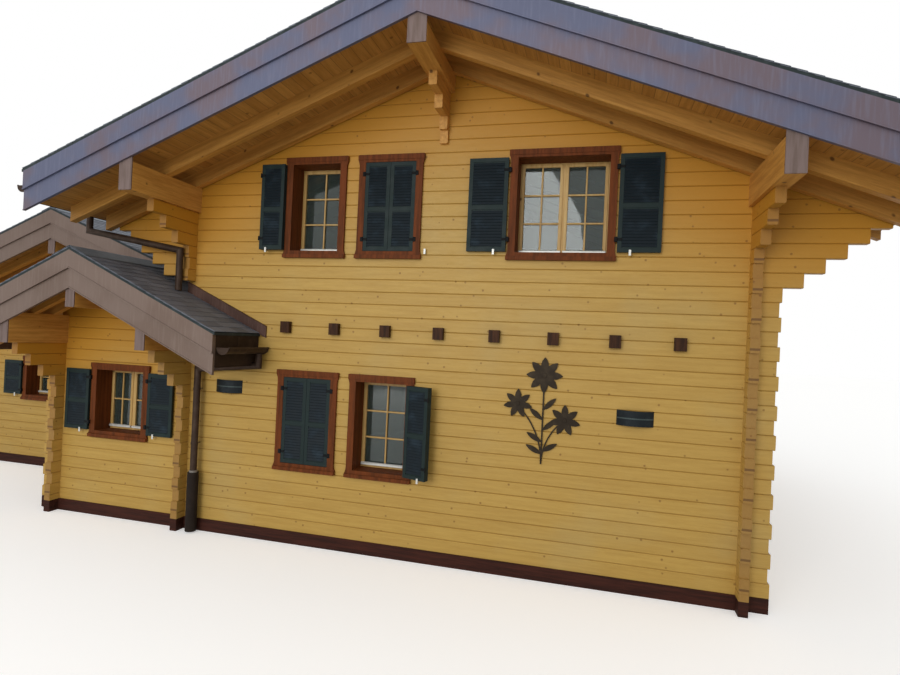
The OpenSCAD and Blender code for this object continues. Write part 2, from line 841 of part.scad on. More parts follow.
module wing_rafters() {
    gap = 1080;
    inner = [for (i = [0 : 4]) wing_front + 560 + i * gap];
    flying = [130, 460];
    front = [for (f = flying) wing_front - f - rafter_w];
    rear = [for (f = flying) wing_rear + f];
    spots = concat(front, inner, rear);
    color("#a8854e") put() for (y = spots, r = [[-1, wing_eave - rafter_w], [1, wing_run - tiny]])
        slope_slab(-wing_shift, r[0], tiny, r[1], wing_bear, wing_under, main_slope, y, y + rafter_w);
}

module wing_roof_deck() {
    color("#9a9184") put() chevron(-wing_shift, wing_eave, wing_run, wing_under, wing_top - cover_t,
        main_slope, wing_front - wing_over, wing_rear + wing_over);
}

module wing_roof_cover() {
    lip = 22;
    over = wing_over + board_t + board_step;
    color("#4a4e57") put() chevron(-wing_shift, wing_eave + lip, wing_run, wing_top - cover_t, wing_top,
        main_slope, wing_front - over, wing_rear + over);
}

module wing_boards(high, low, t) {
    for (y = [wing_front - wing_over - t, wing_rear + wing_over])
        chevron(-wing_shift, wing_eave, wing_run, low, high, main_slope, y, y + t);
}

module wing_bargeboards() {
    top = wing_top - cover_t;
    mid = top - board_up;
    color("#7a6a66") put() {
        wing_boards(top, mid, board_t + board_step);
        wing_boards(mid, mid - board_low, board_t);
    }
}

// Casing boards round an opening, with a wider head and sill, and the boards that line it.
module casing(w) {
    a = w[0] - w[2] / 2 - casing_w;
    b = w[0] + w[2] / 2 + casing_w;
    ear = 8;
    foot = 95;
    lap_out = casing_t + 8;
    sill_out = casing_t + 20;
    difference() {
        union() {
            block(a, b, -casing_t, 0, w[1] - foot / 2, w[1] + w[3] + foot / 2);
            block(a - ear, b + ear, -lap_out, 0, w[1] + w[3] + foot / 3, w[1] + w[3] + foot);
            block(a - ear, b + ear, -sill_out, 0, w[1] - foot, w[1] - foot / 2);
            opening_x(framed(w), -tiny, frame_y);
        }
        opening_x(w, -2 * casing_t, frame_y + tiny);
    }
}

module door_casing(w) {
    a = w[0] - w[2] / 2;
    b = w[0] + w[2] / 2;
    difference() {
        union() {
            block(a - casing_w, b + casing_w, -casing_t, 0, 0, w[3] + casing_w);
            opening_x(framed(w), -tiny, frame_y);
        }
        block(a, b, -2 * casing_t, frame_y + tiny, -tiny, w[3]);
    }
}

module window_casings() {
    color("#7a3c22") put() {
        for (w = concat(front_windows, [bay_window])) casing(w);
        facing_back(main_depth) for (w = rear_windows) casing(w);
        facing_back(main_depth) door_casing(rear_door);
        translate([0, wing_front, 0]) casing(wing_window);
        facing_back(wing_rear) casing(wing_back_window);
        facing_side(main_half, 1) for (w = side_windows) casing(w);
        facing_side(wing_left, -1) for (w = wing_side_windows) casing(w);
    }
}

frame_d = 70;
mullion = 2 * frame_w;

// Free spaces of a window's sashes: one for a single, two for a double window.
function panes(w) = w[2] > 800
    ? [[w[0] - w[2] / 2 + frame_w, w[0] - mullion / 2], [w[0] + mullion / 2, w[0] + w[2] / 2 - frame_w]]
    : [[w[0] - w[2] / 2 + frame_w, w[0] + w[2] / 2 - frame_w]];

module window_frame(w) {
    y1 = frame_y + frame_d;
    difference() {
        opening_x(framed(w), frame_y, y1);
        for (p = panes(w))
            block(p[0], p[1], frame_y - tiny, y1 + tiny, w[1] + frame_w, w[1] + w[3] - frame_w);
    }
}

module window_pane(w) {
    glass_t = 20;
    for (p = panes(w))
        block(p[0], p[1], frame_y + glass_t, frame_y + 2 * glass_t, w[1] + frame_w, w[1] + w[3] - frame_w);
}

module window_frames() {
    color("#c9a56a") put() {
        for (w = concat(front_windows, [bay_window])) window_frame(w);
        facing_back(main_depth) for (w = rear_windows) window_frame(w);
        translate([0, wing_front, 0]) window_frame(wing_window);
        facing_back(wing_rear) window_frame(wing_back_window);
        facing_side(main_half, 1) for (w = side_windows) window_frame(w);
        facing_side(wing_left, -1) for (w = wing_side_windows) window_frame(w);
    }
}

module window_glass() {
    color("#5c6a6c") put() {
        for (w = concat(front_windows, [bay_window])) window_pane(w);
        facing_back(main_depth) for (w = rear_windows) window_pane(w);
        translate([0, wing_front, 0]) window_pane(wing_window);
        facing_back(wing_rear) window_pane(wing_back_window);
        facing_side(main_half, 1) for (w = side_windows) window_pane(w);
        facing_side(wing_left, -1) for (w = wing_side_windows) window_pane(w);
    }
}

module back_door() {
    rail = 110;
    field = 840;
    step = 12;
    edge = rear_door[2] / 2 - rail;
    color("#7a4a2a") put() facing_back(main_depth) difference() {
        opening_x(framed(rear_door), frame_y, frame_y + frame_d);
        for (z = [rail, 2 * rail + field])
            block(-edge, edge, frame_y - tiny, frame_y + step, z, z + field);
    }
}

// A shutter leaf of width w and height h with two sunk louvre fields, its hinge edge at the origin.
module leaf(w, h) {
    stile = 48;
    sink = 9;
    mid = h * 0.47;
    difference() {
        block(0, w, 0, leaf_t, 0, h);
        for (f = [[stile, mid - stile / 2], [mid + stile / 2, h - stile]], y = [-tiny, leaf_t - sink])
            block(stile, w - stile, y, y + sink + tiny, f[0], f[1]);
    }
}

leaf_gap = 4;
wall_gap = 22;
hinge_gap = 22;
slim_leaf = 340;
mid_leaf = 415;
wide_leaf = 480;

function leaf_w(w) = w[2] / 2 - leaf_gap;
function leaf_h(w) = w[3] - 2 * leaf_gap;

// Two leaves shut in the opening.
module shut_pair(w) {
    for (x = [w[0] - leaf_w(w) - leaf_gap / 2, w[0] + leaf_gap / 2])
        translate([x, -leaf_t + leaf_gap, w[1] + leaf_gap]) leaf(leaf_w(w), leaf_h(w));
}

// One leaf on each side, open flat against the wall.
module open_pair(w, width) {
    edge = w[2] / 2 + casing_w + hinge_gap;
    translate([w[0] - edge - width, -wall_gap - leaf_t, w[1] + leaf_gap]) leaf(width, leaf_h(w));
    translate([w[0] + edge, -wall_gap - leaf_t, w[1] + leaf_gap]) leaf(width, leaf_h(w));
}

// Two leaves folded on each other beside the opening, with their gap to the casing, their distance from
// the wall and their turn.
module folded_pair(w, side, gap, out, turn) {
    edge = w[2] / 2 + casing_w + gap;
    translate([w[0] + side * edge, -out, w[1] + leaf_gap])
        rotate([0, 0, -side * turn])
        for (i = [0, 1])
            translate([side > 0 ? 0 : -leaf_w(w), -(i + 1) * leaf_t - i * leaf_gap, 0])
                leaf(leaf_w(w), leaf_h(w));
}

module shutters_front() {
    color("#1e3236") put() {
        folded_pair(upper_left, -1, 2, wall_gap, 0);
        shut_pair(upper_mid);
        open_pair(upper_wide, wide_leaf);
        shut_pair(lower_left);
        folded_pair(lower_mid, 1, -28, 52, 20);
    }
}

module shutters_side() {
    color("#1e3236") put() {
        open_pair(bay_window, mid_leaf);
        translate([0, wing_front, 0]) open_pair(wing_window, mid_leaf);
    }
}

module shutters_rear() {
    color("#1e3236") put() {
        facing_back(main_depth) {
            open_pair(upper_left, slim_leaf);
            open_pair(upper_wide, wide_leaf);
            open_pair(lower_left, slim_leaf);
            open_pair(lower_wide, wide_leaf);
        }
        facing_back(wing_rear) open_pair(wing_back_window, wide_leaf);
        facing_side(main_half, 1) for (w = side_windows) open_pair(w, slim_leaf);
        facing_side(wing_left, -1) for (w = wing_side_windows) open_pair(w, slim_leaf);
    }
}

// Bent metal shades that stand off the wall.
module wall_lights() {
    bend = 300;
    t = 5;
    out = 80;
    high = 175;
    color("#2c3436") put() for (p = [[-2905, 1770], [2405, 1750]])
        translate([p[0], bend - out, p[1]]) difference() {
            cylinder(r = bend, h = high, $fa = 3);
            translate([0, 0, -tiny]) cylinder(r = bend - t, h = high + 2 * tiny, $fa = 3);
            block(-bend - tiny, bend + tiny, out - bend, bend + tiny, -tiny, high + tiny);
        }
}

// A pointed leaf from the origin along +X.
module lens(long, wide) {
    r = (long * long / 4 + wide * wide / 4) / wide;
    intersection() {
        translate([long / 2, r - wide / 2]) circle(r = r, $fa = 3);
        translate([long / 2, wide / 2 - r]) circle(r = r, $fa = 3);
    }
}

// A star of pointed petals round a disc.
module bloom(r, petals) {
    circle(r = r * 0.3, $fa = 6);
    for (i = [0 : petals - 1]) rotate(90 + i * 360 / petals) lens(r, r * 0.42);
}

// An upward stem that bends to one side: an arc of a thin ring.
module stem(side, r, rise) {
    w = 16;
    translate([side * r, 0]) intersection() {
        difference() {
            circle(r = r + w / 2, $fa = 2);
            circle(r = r - w / 2, $fa = 2);
        }
        translate([side > 0 ? -2 * r : 0, 0]) square([2 * r, rise]);
    }
}

// Flat spray of mountain flowers cut from sheet metal.
module wall_ornament() {
    t = 5;
    gap = 15;
    foot = [1365, 1215];
    color("#2c3436") put() along_y(-gap - t, -gap) translate(foot) {
        translate([-9, 0]) square([18, 960]);
        translate([0, 1050]) bloom(215, 8);
        stem(-1, 900, 640);
        translate([-300, 700]) bloom(175, 7);
        stem(1, 700, 470);
        translate([255, 535]) bloom(185, 7);
        for (leaf = [[150, 30], [260, 150], [400, 40], [520, 140], [640, 45], [120, 152]])
            translate([0, leaf[0]]) rotate(leaf[1]) lens(210, 62);
    }
}

plinth();
ground_floor();
upper_floor();
floor_joists();
gable_wall_front();
gable_wall_rear();
side_wall_left();
side_wall_right();
ridge_beam();
wall_purlins();
ridge_corbels();
rafters();
roof_deck_left();
roof_deck_right();
roof_cover();
bargeboards_upper();
bargeboards_lower();
beam_caps();
gutters();
downpipes();
bay_wall_front();
bay_wall_left();
bay_beams();
bay_rafters();
bay_roof_deck();
bay_roof_cover();
bay_bargeboards();
bay_flashing();
wing_wall_front();
wing_wall_rear();
wing_wall_left();
wing_beams();
wing_rafters();
wing_roof_deck();
wing_roof_cover();
wing_bargeboards();
window_casings();
window_frames();
window_glass();
back_door();
shutters_front();
shutters_side();
shutters_rear();
wall_lights();
wall_ornament();
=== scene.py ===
import math
from collections import namedtuple

import bpy
from mathutils import Matrix, Vector


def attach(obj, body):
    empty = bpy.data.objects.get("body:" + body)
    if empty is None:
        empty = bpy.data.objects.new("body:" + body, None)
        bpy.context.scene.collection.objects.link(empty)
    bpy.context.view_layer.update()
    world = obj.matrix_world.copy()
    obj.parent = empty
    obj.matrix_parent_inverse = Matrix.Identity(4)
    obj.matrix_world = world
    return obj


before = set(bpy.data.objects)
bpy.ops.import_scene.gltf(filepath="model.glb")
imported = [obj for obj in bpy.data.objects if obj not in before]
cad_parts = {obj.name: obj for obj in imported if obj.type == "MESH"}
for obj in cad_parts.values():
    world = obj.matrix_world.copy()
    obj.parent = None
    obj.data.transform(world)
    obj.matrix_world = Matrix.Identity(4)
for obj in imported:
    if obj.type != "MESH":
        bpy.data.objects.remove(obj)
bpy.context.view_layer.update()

ROOT = "root"

# House coordinates: x from the main ridge line, y from the front gable wall, z from the base board's top.
# HOUSE is where their origin lies in the shared frame, in metres.
HOUSE = Vector((2.885, -4.4, 0.165))

COURSE = 0.16
MAIN_HALF = 3.625
MAIN_DEPTH = 8.8
MAIN_OVER = 1.24
BAY_OVER = 0.9
WING_LEFT = -10.1
WING_FRONT = 1.9
WING_REAR = 7.5
WING_OVER = 0.95
COVER_T = 0.03
BOARD_UP = 0.235
BOARD_LOW = 0.255
BOARD_T = 0.035
BOARD_STEP = 0.022
BOARDS = BOARD_T + BOARD_STEP

# Roofs: x of the ridge, height of the covering there, slope, run to the eave, height of the boarded eave, and
# y of the boards' wall side at both gables. The bay's roof runs back to the wing's boards.
Roof = namedtuple("Roof", "mid top slope eave edge front rear")
MAIN = Roof(mid=0.0, top=6.53, slope=0.395, eave=5.08, edge=0.35,
            front=-MAIN_OVER, rear=MAIN_DEPTH + MAIN_OVER)
WING = Roof(mid=-7.2, top=4.57, slope=0.395, eave=3.65, edge=0.3,
            front=WING_FRONT - WING_OVER, rear=WING_REAR + WING_OVER)
BAY = Roof(mid=-4.69, top=3.6, slope=0.455, eave=2.2, edge=0.4, front=-BAY_OVER, rear=WING.front - BOARDS)

# Runs from the wing's and the bay's ridge to the main block's side wall.
WING_JOIN = -MAIN_HALF - WING.mid
BAY_JOIN = -MAIN_HALF - BAY.mid

# Eaves: roof, side of the ridge, y of both ends.
EAVES = [
    (MAIN, -1, MAIN.front, MAIN.rear),
    (MAIN, 1, MAIN.front, MAIN.rear),
    (BAY, 1, BAY.front, 0.0),
    (BAY, -1, BAY.front, BAY.rear),
    (WING, -1, WING.front, WING.rear),
]

GUTTER_R = 0.08
GUTTER_OFF = 0.09
GUTTER_DROP = 0.19
PIPE_R = 0.045

FRAME_Y = 0.25
FRAME_W = 0.048
MULLION = 2 * FRAME_W
# A window wider than DOUBLE has two sashes, and one taller than TALL has two bars across each sash.
DOUBLE = 0.8
TALL = 1.0
LEAF_T = 0.036
LEAF_GAP = 0.004
WALL_GAP = 0.022
HINGE_GAP = 0.022
CASING_W = 0.088
CASING_T = 0.035

# Faces that would share a plane stay SHY apart. A face looks along an axis past the cosine FACING.
SHY = 0.001
FACING = 0.9
# Widths of broken edges.
HAIR = 0.001
FINE = 0.002
SOFT = 0.003
ROUND = 0.004

# Walls that carry windows: a point on the outer face and the turn about Z from the front wall.
FRONT = (Vector((0, 0, 0)), 0.0)
WING_FACE = (Vector((0, WING_FRONT, 0)), 0.0)
REAR = (Vector((0, MAIN_DEPTH, 0)), math.pi)
WING_BACK = (Vector((0, WING_REAR, 0)), math.pi)
RIGHT = (Vector((MAIN_HALF, 0, 0)), math.pi / 2)
LEFT = (Vector((WING_LEFT, 0, 0)), -math.pi / 2)

# Openings: middle along the wall, sill height, width, height, and the width of leaves that hang open.
Opening = namedtuple("Opening", "x sill width height leaf")
UPPER = 3.72
LOWER = 0.9
SLIM = (0.68, 1.14, 0.34)
WIDE = (1.07, 1.14, 0.48)
UPPER_LEFT = Opening(-1.72, UPPER, *SLIM)
UPPER_MID = Opening(-0.685, UPPER, *SLIM)
UPPER_WIDE = Opening(1.475, UPPER, *WIDE)
LOWER_LEFT = Opening(-1.72, LOWER, *SLIM)
LOWER_MID = Opening(-0.685, LOWER, *SLIM)
LOWER_WIDE = Opening(1.475, LOWER, *WIDE)
BAY_WINDOW = Opening(-4.705, 1.07, 0.81, 0.89, 0.415)
WING_WINDOW = Opening(-8.4, 1.18, 0.7, 0.66, 0.415)
WING_WIDE = Opening(-7.2, LOWER, *WIDE)
SIDE_FRONT = Opening(2.6, LOWER, *SLIM)
SIDE_REAR = Opening(6.2, LOWER, *SLIM)
WING_SIDE = Opening(4.7, LOWER, *SLIM)

# Windows of the front, of the bay and wing beside it, and of the walls that don't show.
FRONT_WINDOWS = [(FRONT, opening) for opening in (UPPER_LEFT, UPPER_MID, UPPER_WIDE, LOWER_LEFT, LOWER_MID)]
SMALL_WINDOWS = [(FRONT, BAY_WINDOW), (WING_FACE, WING_WINDOW)]
REAR_WINDOWS = [(REAR, opening) for opening in (UPPER_LEFT, UPPER_WIDE, LOWER_LEFT, LOWER_WIDE)]
REAR_WINDOWS += [(WING_BACK, WING_WIDE), (RIGHT, SIDE_FRONT), (RIGHT, SIDE_REAR), (LEFT, WING_SIDE)]
WINDOWS = FRONT_WINDOWS + SMALL_WINDOWS + REAR_WINDOWS


def place_on(wall, x):
    """Turn and place of a piece drawn at x = 0 for the front wall, when it stands at x along that wall."""
    point, angle = wall
    along = Vector((x, 0, 0)) if abs(math.cos(angle)) > 0.5 else Vector((0, x, 0))
    return Matrix.Translation(point + along) @ Matrix.Rotation(angle, 4, "Z")


# Modelling helpers

def select_only(obj):
    bpy.ops.object.select_all(action="DESELECT")
    obj.select_set(True)
    bpy.context.view_layer.objects.active = obj


def hold(obj):
    """Writes an object's place, turn and size into its mesh."""
    select_only(obj)
    bpy.ops.object.transform_apply(location=True, rotation=True, scale=True)
    return obj


def block(low, high):
    """A cube primitive of that extent, the start of a boarded or forged piece."""
    bpy.ops.mesh.primitive_cube_add(size=1, location=[(a + b) / 2 for a, b in zip(low, high)])
    obj = bpy.context.object
    obj.scale = [b - a for a, b in zip(low, high)]
    return hold(obj)


def drum(radius, depth, centre, axis="Z", sides=24, fill="NGON"):
    """A cylinder primitive along one axis."""
    turns = {"X": (0, math.pi / 2, 0), "Y": (math.pi / 2, 0, 0), "Z": (0, 0, 0)}
    bpy.ops.mesh.primitive_cylinder_add(
        vertices=sides, radius=radius, depth=depth, end_fill_type=fill, location=centre, rotation=turns[axis])
    return hold(bpy.context.object)


def leave_edit():
    bpy.ops.object.mode_set(mode="OBJECT")


def pick(obj, kind, wanted):
    """Leaves the object in edit mode with the wanted faces or vertices selected."""
    select_only(obj)
    bpy.ops.object.mode_set(mode="EDIT")
    bpy.ops.mesh.select_mode(type=kind)
    bpy.ops.mesh.select_all(action="DESELECT")
    leave_edit()
    for part in obj.data.polygons if kind == "FACE" else obj.data.vertices:
        part.select = wanted(part)
    bpy.ops.object.mode_set(mode="EDIT")


def apply_modifier(obj, kind, **settings):
    select_only(obj)
    modifier = obj.modifiers.new(kind.lower(), kind)
    for key, value in settings.items():
        setattr(modifier, key, value)
    bpy.ops.object.modifier_apply(modifier=modifier.name)
    return obj


def ease(obj, width, segments=1):
    """Breaks the sharp edges, as sanding or a folded edge does."""
    return apply_modifier(obj, "BEVEL", width=width, segments=segments, limit_method="ANGLE", angle_limit=0.6)


def repeat(obj, count, step):
    """A straight row of equal pieces."""
    return apply_modifier(
        obj, "ARRAY", count=count, use_relative_offset=False, use_constant_offset=True,
        constant_offset_displace=step)


def thicken(obj, thickness, offset=1.0):
    return apply_modifier(obj, "SOLIDIFY", thickness=thickness, offset=offset)


def turn(obj, angle, axis, centre):
    """Turns the mesh about a point."""
    spot = Vector(centre)
    obj.matrix_world = Matrix.Translation(spot) @ Matrix.Rotation(angle, 4, axis) @ Matrix.Translation(-spot)
    return hold(obj)


def cut_off(obj, point, normal):
    """Trims away what lies beyond a plane and closes each cut part on its own."""
    select_only(obj)
    bpy.ops.object.mode_set(mode="EDIT")
    bpy.ops.mesh.select_mode(type="EDGE")
    bpy.ops.mesh.select_all(action="SELECT")
    bpy.ops.mesh.bisect(plane_co=point, plane_no=normal, clear_outer=True)
    bpy.ops.mesh.fill_holes(sides=0)
    leave_edit()
    return obj


def folded_sheet(points, y0, y1, thickness):
    """Sheet metal folded to an X-Z outline that runs from y0 to y1. It is drawn far up and folded down."""
    folds = len(points) - 1
    high = 50.0
    near = 0.1
    bpy.ops.mesh.primitive_grid_add(
        x_subdivisions=folds, y_subdivisions=1, size=1, location=(0, (y0 + y1) / 2, high))
    obj = bpy.context.object
    obj.scale = (folds, y1 - y0, 1)
    hold(obj)
    for i, (x, z) in enumerate(points):
        column = i - folds / 2
        pick(obj, "VERT", lambda vertex: vertex.co.z > high / 2 and abs(vertex.co.x - column) < near)
        bpy.ops.transform.translate(value=(x - column, 0, z - high))
        leave_edit()
    return thicken(obj, thickness, 0.0)


def slope_bar(roof, side, run, ridge_z, y0, y1, height):
    """A bar along a roof's slope below a line given by its height at the ridge, cut upright at both ends."""
    angle = math.atan(roof.slope)
    spare = 0.3
    bar = turn(block((-spare, y0, -height), (run / math.cos(angle) + spare, y1, 0.0)), angle, "Y", (0, 0, 0))
    bar.location = (0, 0, ridge_z)
    hold(bar)
    cut_off(bar, (0, 0, 0), (-1, 0, 0))
    cut_off(bar, (run, 0, 0), (1, 0, 0))
    if side < 0:
        turn(bar, math.pi, "Z", (0, (y0 + y1) / 2, 0))
    bar.location = (roof.mid, 0, 0)
    return bar


def copy_of(obj, matrix):
    twin = obj.copy()
    twin.data = obj.data.copy()
    bpy.context.collection.objects.link(twin)
    twin.matrix_world = matrix @ obj.matrix_world
    return twin


def spread(master, places):
    """Copies a piece to its places and removes it."""
    twins = [copy_of(master, place) for place in places]
    bpy.data.objects.remove(master)
    return twins


def put(pieces, matrix):
    for piece in pieces:
        piece.matrix_world = matrix
    return pieces


def join(pieces):
    bpy.ops.object.select_all(action="DESELECT")
    for piece in pieces:
        piece.select_set(True)
    bpy.context.view_layer.objects.active = pieces[0]
    if len(pieces) > 1:
        bpy.ops.object.join()
    return hold(bpy.context.object)


def settle(pieces, name, finish):
    """Joins finished pieces, moves them from house coordinates into the shared frame and fixes them there."""
    obj = join(pieces)
    obj.location = HOUSE
    hold(obj)
    obj.name = name
    obj.data.name = name
    obj.data.materials.clear()
    obj.data.materials.append(finish)
    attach(obj, ROOT)


# Material helpers

def linear(code):
    """An sRGB hex colour as linear red, green, blue and alpha."""
    values = [int(code[i:i + 2], 16) / 255 for i in (1, 3, 5)]
    return [v / 12.92 if v <= 0.04045 else ((v + 0.055) / 1.055) ** 2.4 for v in values] + [1.0]


def fill(tree, node, inputs):
    """Fills a node's inputs with values or links."""
    for key, value in inputs.items():
        if isinstance(value, bpy.types.NodeSocket):
            tree.links.new(value, node.inputs[key])
        else:
            node.inputs[key].default_value = value


def add(tree, kind, inputs, out=0, **settings):
    """Adds a node with its settings and links, and gives one of its outputs."""
    node = tree.nodes.new("ShaderNode" + kind)
    for key, value in settings.items():
        setattr(node, key, value)
    fill(tree, node, inputs)
    return node.outputs[out]


def new_material(name):
    mat = bpy.data.materials.new(name)
    mat.use_nodes = True
    return mat, mat.node_tree, mat.node_tree.nodes["Principled BSDF"]


def house_place(tree):
    """Object coordinates moved to house coordinates."""
    spot = add(tree, "TexCoord", {}, "Object")
    return add(tree, "VectorMath", {0: spot, 1: HOUSE}, operation="SUBTRACT")


# Varnish and paint that weather has dulled reflect less than a new film.
SATIN = 0.3
DULL = 0.15

SMOOTH = {"interpolation_type": "SMOOTHSTEP"}
# Part of a pattern over which the gloss changes.
FILM = {"From Min": 0.3, "From Max": 0.7}
# Sockets of a colour mix: share, colour below, colour above, result.
SHARE, BELOW, ABOVE, MIXED = 0, 6, 7, 2

# Fibres run along the wood: the pattern is drawn this many times longer that way.
SQUEEZE = {"X": (0.06, 1, 1), "Y": (1, 0.06, 1), "Z": (1, 1, 0.06)}
# Levels of the grain between which light wood turns to dark.
GRAIN = (0.42, 0.9)
# Fibres a metre: 6 mm apart on planed logs and beams, 7 mm on roof boards and under a stain.
PLANED_FIBRES = 160.0
BOARD_FIBRES = 150.0
STAINED_FIBRES = 140.0
# Cells a metre that hold one knot each. The larger knots of beams stand wider apart.
LOG_KNOTS = 7.0
BEAM_KNOTS = 4.5
BOARD_W = 0.12


def laid_over(tree, below, code, pattern, share=1.0, levels=None):
    """A colour with a second one over it, up to that share: as a pattern says, or as it passes two levels."""
    if levels:
        part = add(tree, "MapRange", {"Value": pattern, "From Min": levels[0], "From Max": levels[1],
                                      "To Max": share}, **SMOOTH)
    else:
        part = add(tree, "Math", {0: pattern, 1: share}, operation="MULTIPLY")
    return add(tree, "Mix", {SHARE: part, BELOW: below, ABOVE: linear(code)}, MIXED, data_type="RGBA")


def long_grain(tree, spot, grain, fibres):
    """Fibres, and with them wider bands of early and late wood: two values about 0.5."""
    along = add(tree, "Mapping", {"Vector": spot, "Scale": SQUEEZE[grain]})
    fine = add(tree, "TexNoise", {"Vector": along, "Scale": fibres, "Detail": 4.0, "Roughness": 0.6})
    wide = add(tree, "TexNoise", {"Vector": along, "Scale": fibres / 6, "Detail": 2.0})
    part = add(tree, "Math", {0: wide, 1: 0.75}, operation="MULTIPLY")
    tone = add(tree, "Math", {0: fine, 1: 0.55, 2: part}, operation="MULTIPLY_ADD")
    return fine, tone


def knot_spots(tree, spot, cells):
    """1 inside round knots, 0 outside."""
    cell = {"Vector": spot, "Scale": cells, "Randomness": 1.0}
    reach = add(tree, "TexVoronoi", cell, "Distance", feature="F1")
    return add(tree, "MapRange", {"Value": reach, "From Min": 0.13, "From Max": 0.05}, **SMOOTH)


def from_ridge(tree, spot, ridge):
    """Distance across the house from a ridge line."""
    x = add(tree, "SeparateXYZ", {0: spot}, "X")
    off = add(tree, "Math", {0: x, 1: ridge}, operation="SUBTRACT")
    return add(tree, "Math", {0: off}, operation="ABSOLUTE")


def own_tone(tree, place):
    """A chance value of its own for each whole number that the place passes, as each log and board has."""
    number = add(tree, "Math", {0: place}, operation="FLOOR")
    return add(tree, "TexWhiteNoise", {"W": number}, noise_dimensions="1D")


# Materials

# Spruce logs, planed and varnished: honey yellow with long grain, brown knots and a satin film. Every course
# differs a little, rain has greyed patches, and under the eaves the wood turns deep orange, partly varnish
# kept from the sun and partly painted shade and warm bounce light.
# Sawn end grain is browner, partly its own colour and partly painted shade, and a dark strip at every second
# log end is painted shadow where the alternating ends step.
def spruce_logs(name, roof, shade_top, gable):
    grain, slope, joint = ("X", roof.slope, 0.0) if gable else ("Y", 0.0, COURSE / 2)
    mat, tree, shader = new_material(name)
    spot = house_place(tree)
    fine, tone = long_grain(tree, spot, grain, PLANED_FIBRES)
    colour = laid_over(tree, linear("#c7a254"), "#b99348", tone, levels=GRAIN)

    z = add(tree, "SeparateXYZ", {0: spot}, "Z")
    above = add(tree, "Math", {0: z, 1: joint}, operation="SUBTRACT")
    row = add(tree, "Math", {0: above, 1: COURSE}, operation="DIVIDE")
    colour = laid_over(tree, colour, "#a98440", own_tone(tree, row), 0.22)
    cloud = add(tree, "TexNoise", {"Vector": spot, "Scale": 0.9, "Detail": 3.0})
    colour = laid_over(tree, colour, "#b8a877", cloud, 0.22, (0.48, 0.75))

    # Deep orange under each roof: partly the varnish kept from the sun, partly painted shade and warm bounce
    # light below the eaves.
    run = from_ridge(tree, spot, roof.mid)
    eave = add(tree, "Math", {0: run, 1: -slope, 2: shade_top}, operation="MULTIPLY_ADD")
    depth = add(tree, "Math", {0: eave, 1: z}, operation="SUBTRACT")
    colour = laid_over(tree, colour, "#bf8522", depth, 0.9, (1.9, 0.15))
    across = add(tree, "Math", {0: row, 1: 0.5}, operation="PINGPONG")
    colour = laid_over(tree, colour, "#8a6428", across, 0.35, (0.05, 0.02))

    # Sawn ends browner: partly the end grain's own colour, partly painted shade on the log ends.
    facing = add(tree, "NewGeometry", {}, "Normal")
    along = add(tree, "SeparateXYZ", {0: facing}, grain)
    turned = add(tree, "Math", {0: along}, operation="ABSOLUTE")
    sawn = add(tree, "Math", {0: turned, 1: 0.7}, operation="GREATER_THAN")
    colour = laid_over(tree, colour, "#8c6230", sawn, 0.65)
    # Painted shadow: a dark strip low on every second log end, where the longer and shorter ends alternate.
    pair = add(tree, "Math", {0: row, 1: 0.5}, operation="MULTIPLY")
    part = add(tree, "Math", {0: pair}, operation="FRACT")
    painted_shadow_band = add(tree, "Math", {0: part, 1: 0.133, 2: 0.04}, operation="COMPARE")
    stain = add(tree, "Math", {0: painted_shadow_band, 1: sawn}, operation="MULTIPLY")
    colour = laid_over(tree, colour, "#4c2c16", stain, 0.65)

    knot = knot_spots(tree, spot, LOG_KNOTS)
    colour = laid_over(tree, colour, "#704519", knot, 0.6)
    film = add(tree, "MapRange", {"Value": fine, **FILM, "To Min": 0.42, "To Max": 0.56}, **SMOOTH)
    height = add(tree, "Math", {0: tone, 1: knot}, operation="SUBTRACT")
    bump = add(tree, "Bump", {"Height": height, "Strength": 0.35, "Distance": 0.002})
    fill(tree, shader, {"Base Color": colour, "Roughness": film, "Specular IOR Level": SATIN, "Normal": bump})
    return mat


# Spruce beams, boards and sashes, planed and varnished: long grain between two colours and brown knots.
# On rafters the grain follows the roof's slope on both sides of its ridge.
def spruce_planed(name, grain, light, dark, film, roof=None):
    ridge, slope = (roof.mid, roof.slope) if roof else (0.0, 0.0)
    mat, tree, shader = new_material(name)
    level = house_place(tree)
    x, y, z = (add(tree, "SeparateXYZ", {0: level}, axis) for axis in "XYZ")
    run = from_ridge(tree, level, ridge)
    high = add(tree, "Math", {0: run, 1: slope, 2: z}, operation="MULTIPLY_ADD")
    spot = add(tree, "CombineXYZ", {"X": x, "Y": y, "Z": high})
    tone = long_grain(tree, spot, grain, PLANED_FIBRES)[1]
    colour = laid_over(tree, linear(light), dark, tone, levels=GRAIN)
    colour = laid_over(tree, colour, "#4f3014", knot_spots(tree, spot, BEAM_KNOTS), 0.85)
    bump = add(tree, "Bump", {"Height": tone, "Strength": 0.3, "Distance": 0.002})
    fill(tree, shader, {"Base Color": colour, "Roughness": film, "Specular IOR Level": SATIN, "Normal": bump})
    return mat


# Softwood with a film-forming stain: colour nearly even, the grain shows as faint darker lines.
def stained_softwood(name, grain, colour, deep, film):
    mat, tree, shader = new_material(name)
    fine, tone = long_grain(tree, house_place(tree), grain, STAINED_FIBRES)
    base = laid_over(tree, linear(colour), deep, tone, levels=(0.45, 0.85))
    bump = add(tree, "Bump", {"Height": fine, "Strength": 0.3, "Distance": 0.0015})
    fill(tree, shader, {"Base Color": base, "Roughness": film, "Specular IOR Level": DULL, "Normal": bump})
    return mat


